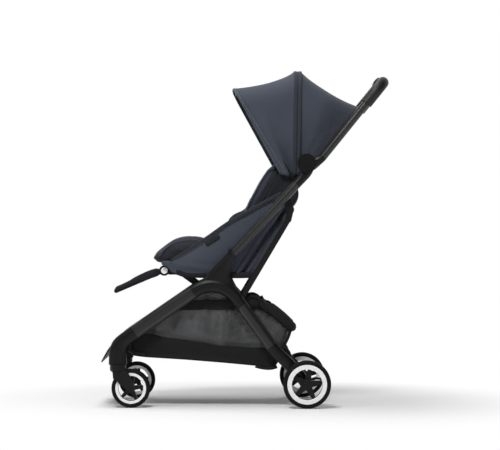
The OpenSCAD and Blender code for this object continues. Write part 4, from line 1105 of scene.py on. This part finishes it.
def wall_rows(ups):
    """Rings of the wall at those heights. Averaging neighbours rounds the bag's upright corners."""
    rings = np.array([[wall_point(k / WALL_STEPS, up) for k in range(WALL_STEPS)] for up in ups])
    for _ in range(2):
        rings = 0.5 * rings + 0.25 * (np.roll(rings, 1, axis=1) + np.roll(rings, -1, axis=1))
    return rings


def floor_rows():
    rows = []
    for share in np.linspace(0, 1, 42):
        x = -353 + 445 * share
        z = height_at(FLOOR_Z, x) + 1.2
        half = FLOOR_HALF - FLOOR_CORNER * max(0, abs(2 * share - 1) - 0.94) / 0.06
        sag = FLOOR_SAG * math.sin(math.pi * share)
        rows.append([(x, y, z - sag * math.cos(y / 95)) for y in np.linspace(-half, half, 22)])
    return rows


def band_rows(sign):
    """The black band on the side wall, between the two arms of the arch."""
    rows = []
    for q in np.linspace(0, 1, 8):
        row = []
        for x in np.linspace(-232, -6, 44):
            slant = (x + 232) / 226
            low, high = 299 + 2 * math.sin(3 * slant), min(330 + 2 * slant, height_at(RIM_Z, x) + 3)
            z = low + (max(high, low + 3) - low) * q
            row.append((x, sign * (WALL_Y + 7.0 - 1.5 * q + 0.8 * math.sin(x / 14)), z))
        rows.append(row)
    return rows


cloth_rows, net_rows = wall_rows(np.linspace(0, 1, 10)), wall_rows(np.linspace(1, 2, 20))
basket_cloth = cloth_sheet("basket_lower_cloth", cloth_rows, BASKET_CLOTH, 1.6, closed=True)
basket_net = cloth_sheet("basket_net_wall", net_rows, NET, 0.6, closed=True)
basket_floor = cloth_sheet("basket_floor_cloth", floor_rows(), BASKET_CLOTH, 2.0)
bands = sheet_pair("basket_band", band_rows, BASKET_CLOTH, 1.6, flip="left")

# %% [markdown]
# The basket's rear edge is a thick padded roll, quilted at its upper end and held by a strap with a tab. Its ends
# stand out beyond the rear legs, where a hand pulls the basket open.

# %% Rear roll and rim bindings
ROLL = [(44, 149, 321), (62, 151, 311), (94, 152, 290), (122, 152, 267), (140, 148, 250), (143, 131, 247)]
CROSS = [(143, -133, 247), (145, -60, 244), (145, 60, 244), (143, 133, 247)]
RIM_Y, PULL_Y, EDGE_Y, ARCH_Y = 146.5, 152, 148, 166
RIM_STOPS = (-360, -340, -300, -250, -206, -192, -130, -72, -44, -24, 20, 50)
PULL = curve_through([(-2, 329), (8, 339), (24, 342), (40, 335), (52, 320)], 24)
EDGE_REAR = curve_through([(140, 240), (131, 214), (114, 181)], 16)


def quilt(x, y, z):
    """Three sewn lines across the upper end of a roll."""
    line = bump_at(x, 52, 2.2) + bump_at(x, 70, 2.2) + bump_at(x, 88, 2.4)
    return (-1.1 * line, 0, -1.6 * line)


rolls, rims = [], []
for side, sign in SIDES.items():
    axis = curve_through([(x, sign * y, z) for x, y, z in ROLL], 26)
    size = [11 + 6.0 * smooth_step(t / 0.2) for t in np.linspace(0, 1, 26)]
    rolls.append(foam_pad(f"basket_roll_{side}", tube_rows(axis, size, 18, 0.8), BASKET_CLOTH, 4.0, 3.0, 2.0, quilt))
    rim = curve_through([(x, sign * RIM_Y, height_at(RIM_Z, x)) for x in RIM_STOPS], 60)
    web = [[(x, sign * y, z) for x, z in [*PULL, (50, 302), (-6, 306)]] for y in (PULL_Y - 1.5, PULL_Y + 1.5)]
    rims += [
        welt(f"basket_rim_{side}", rim, 3.0, PIPING, 8, flat=0.6),
        welt(f"basket_pull_{side}", at_side(PULL, sign * PULL_Y), 6.5, BASKET_CLOTH, flat=0.8),
        loft(f"basket_pull_web_{side}", web, BASKET_CLOTH),
        welt(f"basket_edge_rear_{side}", at_side(EDGE_REAR, sign * EDGE_Y), 5.0, BASKET_CLOTH),
    ]
cross_rows = tube_rows(curve_through(CROSS, 30), 15.5, 18, 0.9, up=(0, 0, 1))
cross_roll = foam_pad("basket_roll_rear", cross_rows, BASKET_CLOTH, 4.0, 3.0, 2.0)

# %% Tabs
TABS = {
    "rear": ([(52, 336), (55, 330), (60, 318), (63, 302), (60, 294)], 153, 5.0, 3.2),
    "low": (curve_through([(30, 126), (50, 121), (76, 119), (98, 124)], 14), 148, 5.0, 1.0),
    "front": (curve_through([(-364, 178), (-350, 170), (-330, 163), (-312, 162)], 14), 148, 5.5, 1.0),
    "back": (curve_through([(117, 186), (127, 180), (136, 166), (140, 150)], 14), 150, 4.5, 1.0),
}
ARCH_TAB = [(-212, 0.92, 300), (-214, 0.95, 316), (-206, 1.0, 330), (-192, 1.01, 338)]

tabs = []
for side, sign in SIDES.items():
    for name, (line, y, radius, flat) in TABS.items():
        tabs.append(welt(f"basket_tab_{name}_{side}", at_side(line, sign * y), radius, STRAP, flat=flat))
    arch_path = curve_through([(x, sign * ARCH_Y * share, z) for x, share, z in ARCH_TAB], 18)
    tabs.append(ribbon(f"basket_tab_arch_{side}", arch_path, 10, lean=(1, 0, 0)))

# %% [markdown]
# ## Stitches
# A row of stitches is one small thread repeated at an even step along a seam, which is work for Geometry Nodes:
# the seam becomes a curve, points are set along it, a thread lies on each, and the threads become one plain mesh.

# %% Stitch tree
STITCH_STEP, STITCH_RADIUS, STITCH_LENGTH, STITCH_Y = 5.0, 0.45, 3.2, 154.7
THREAD_SIDES = 6


def stitch_tree():
    tree = bpy.data.node_groups.new("stitch_row", "GeometryNodeTree")
    inputs = {"Geometry": "Geometry", "Step": "Float", "Thread": "Float", "Reach": "Float", "Finish": "Material"}
    for label, kind in inputs.items():
        tree.interface.new_socket(label, in_out="INPUT", socket_type=f"NodeSocket{kind}")
    tree.interface.new_socket("Geometry", in_out="OUTPUT", socket_type="NodeSocketGeometry")
    start = tree.nodes.new("NodeGroupInput")
    row, step, thick, reach, finish = [Wire(tree, start.outputs[label]) for label in inputs]
    seam = add_node(tree, "GeometryNodeMeshToCurve", i0=row)
    points = add_node(tree, "GeometryNodeCurveToPoints", "Points", {"mode": "LENGTH"}, Curve=seam, Length=step)
    turn = Wire(tree, points.socket.node.outputs["Rotation"])
    thread = add_node(tree, "GeometryNodeMeshCylinder", "Mesh", Vertices=THREAD_SIDES, Radius=thick, Depth=reach)
    threads = add_node(tree, "GeometryNodeInstanceOnPoints", Points=points, Rotation=turn, Instance=thread)
    real = add_node(tree, "GeometryNodeRealizeInstances", i0=threads)
    painted = add_node(tree, "GeometryNodeSetMaterial", Geometry=real, Material=finish)
    add_node(tree, "NodeGroupOutput", Geometry=painted)
    return tree


STITCHES = stitch_tree()


def stitches(name, path):
    """A row of stitches along a path in millimetres, as one plain mesh."""
    mesh = bpy.data.meshes.new(name)
    points = np.array(path, float) * MM
    mesh.from_pydata(points.tolist(), [(k, k + 1) for k in range(len(points) - 1)], [])
    piece = new_object(name, mesh)
    rows = piece.modifiers.new("rows", "NODES")
    rows.node_group = STITCHES
    socket = {item.name: item.identifier for item in STITCHES.interface.items_tree if item.in_out == "INPUT"}
    for label, value in (("Step", STITCH_STEP * MM), ("Thread", STITCH_RADIUS * MM), ("Reach", STITCH_LENGTH * MM),
                         ("Finish", THREAD)):
        rows[socket[label]] = value
    plain(piece)
    print(f"{name}: {len(piece.data.polygons) // (THREAD_SIDES + 2)} stitches")
    return piece


front_stitch = stitches("canopy_front_stitches", hoop(FRONT_R - 0.6, HALF + 0.5, 60, FRONT_A, shift=-6.0, flare=FLARE))
seam_line = curve_through([(x + 1.7, z - 2.6) for x, z in HEM_TOP[:-1]] + [(107, 659)], 120)
side_stitches = {side: stitches(f"side_panel_stitches_{side}", at_side(seam_line, sign * STITCH_Y))
                 for side, sign in SIDES.items()}

# %% [markdown]
# ## What moves with what
# Every piece but the two canopy panels rides on a body of the CAD model, and those on the seat, backrest and
# chassis get meshes of their own. The two canopy panels only have their placement baked into their meshes.


def fan_weights(piece):
    """Bakes a canopy piece's placement into its mesh."""
    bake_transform(piece)


fan_weights(canopy_front)
fan_weights(canopy_rear)
for piece in (front_welt, visor_welt, canopy_visor, front_stitch):
    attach(piece, "canopy_front_bow")
for piece in (canopy_zip, zip_line, *zip_welts):
    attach(piece, "canopy_mid_bow")
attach(rear_welt, "handle")
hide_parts("canopy_front")
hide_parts("canopy_rear")
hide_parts("canopy_zip")


def fold_with(pieces, body):
    for piece in pieces:
        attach(piece, body)
        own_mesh(piece)


hems = [*hem_pieces["left"], *hem_pieces["right"]]
side_pieces = [*side_sheets.values(), *corner_flaps.values(), *bare_patches.values(), *side_stitches.values(), *hems]
fold_with(side_pieces, "seat")
fold_with([cushion, *cushion_welts], "seat")
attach(crotch, "seat")
fold_with([pad, *wing_welts, *straps, *sleeves], "backrest")
fold_with([back_cover, *gussets.values()], "backrest")
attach(rest_pad, "legrest")
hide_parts("side_panels")
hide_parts("seat_cushion")
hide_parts("crotch_strap")
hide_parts("backrest_pad")
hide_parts("harness")
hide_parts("back_cover")
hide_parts("legrest_pad")

# %% Basket
basket_trim = [*rolls, cross_roll, *rims, *tabs]
basket_pieces = [basket_cloth, basket_net, basket_floor, *bands.values(), *basket_trim]
fold_with(basket_pieces, "chassis")
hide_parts("basket")

declare_sheet(canopy_front, front_rows)
declare_sheet(canopy_visor, visor_rows)
declare_sheet(canopy_rear, rear_rows)
declare_sheet(canopy_zip, tape_rows)
for side in SIDES:
    declare_sheet(side_sheets[side], side_rows(1))
    declare_sheet(corner_flaps[side], flap_rows(1))
    declare_sheet(bare_patches[side], patch_rows(1))
    declare_sheet(bands[side], band_rows(1))
    declare_sheet(gussets[side], gusset_rows(1))
declare_sheet(back_cover, cover_rows())
declare_sheet(basket_floor, floor_rows())
for piece, rows in ((basket_cloth, cloth_rows), (basket_net, net_rows)):
    ring = np.concatenate([rows, rows[:, :1]], axis=1)
    declare_sheet(piece, ring)
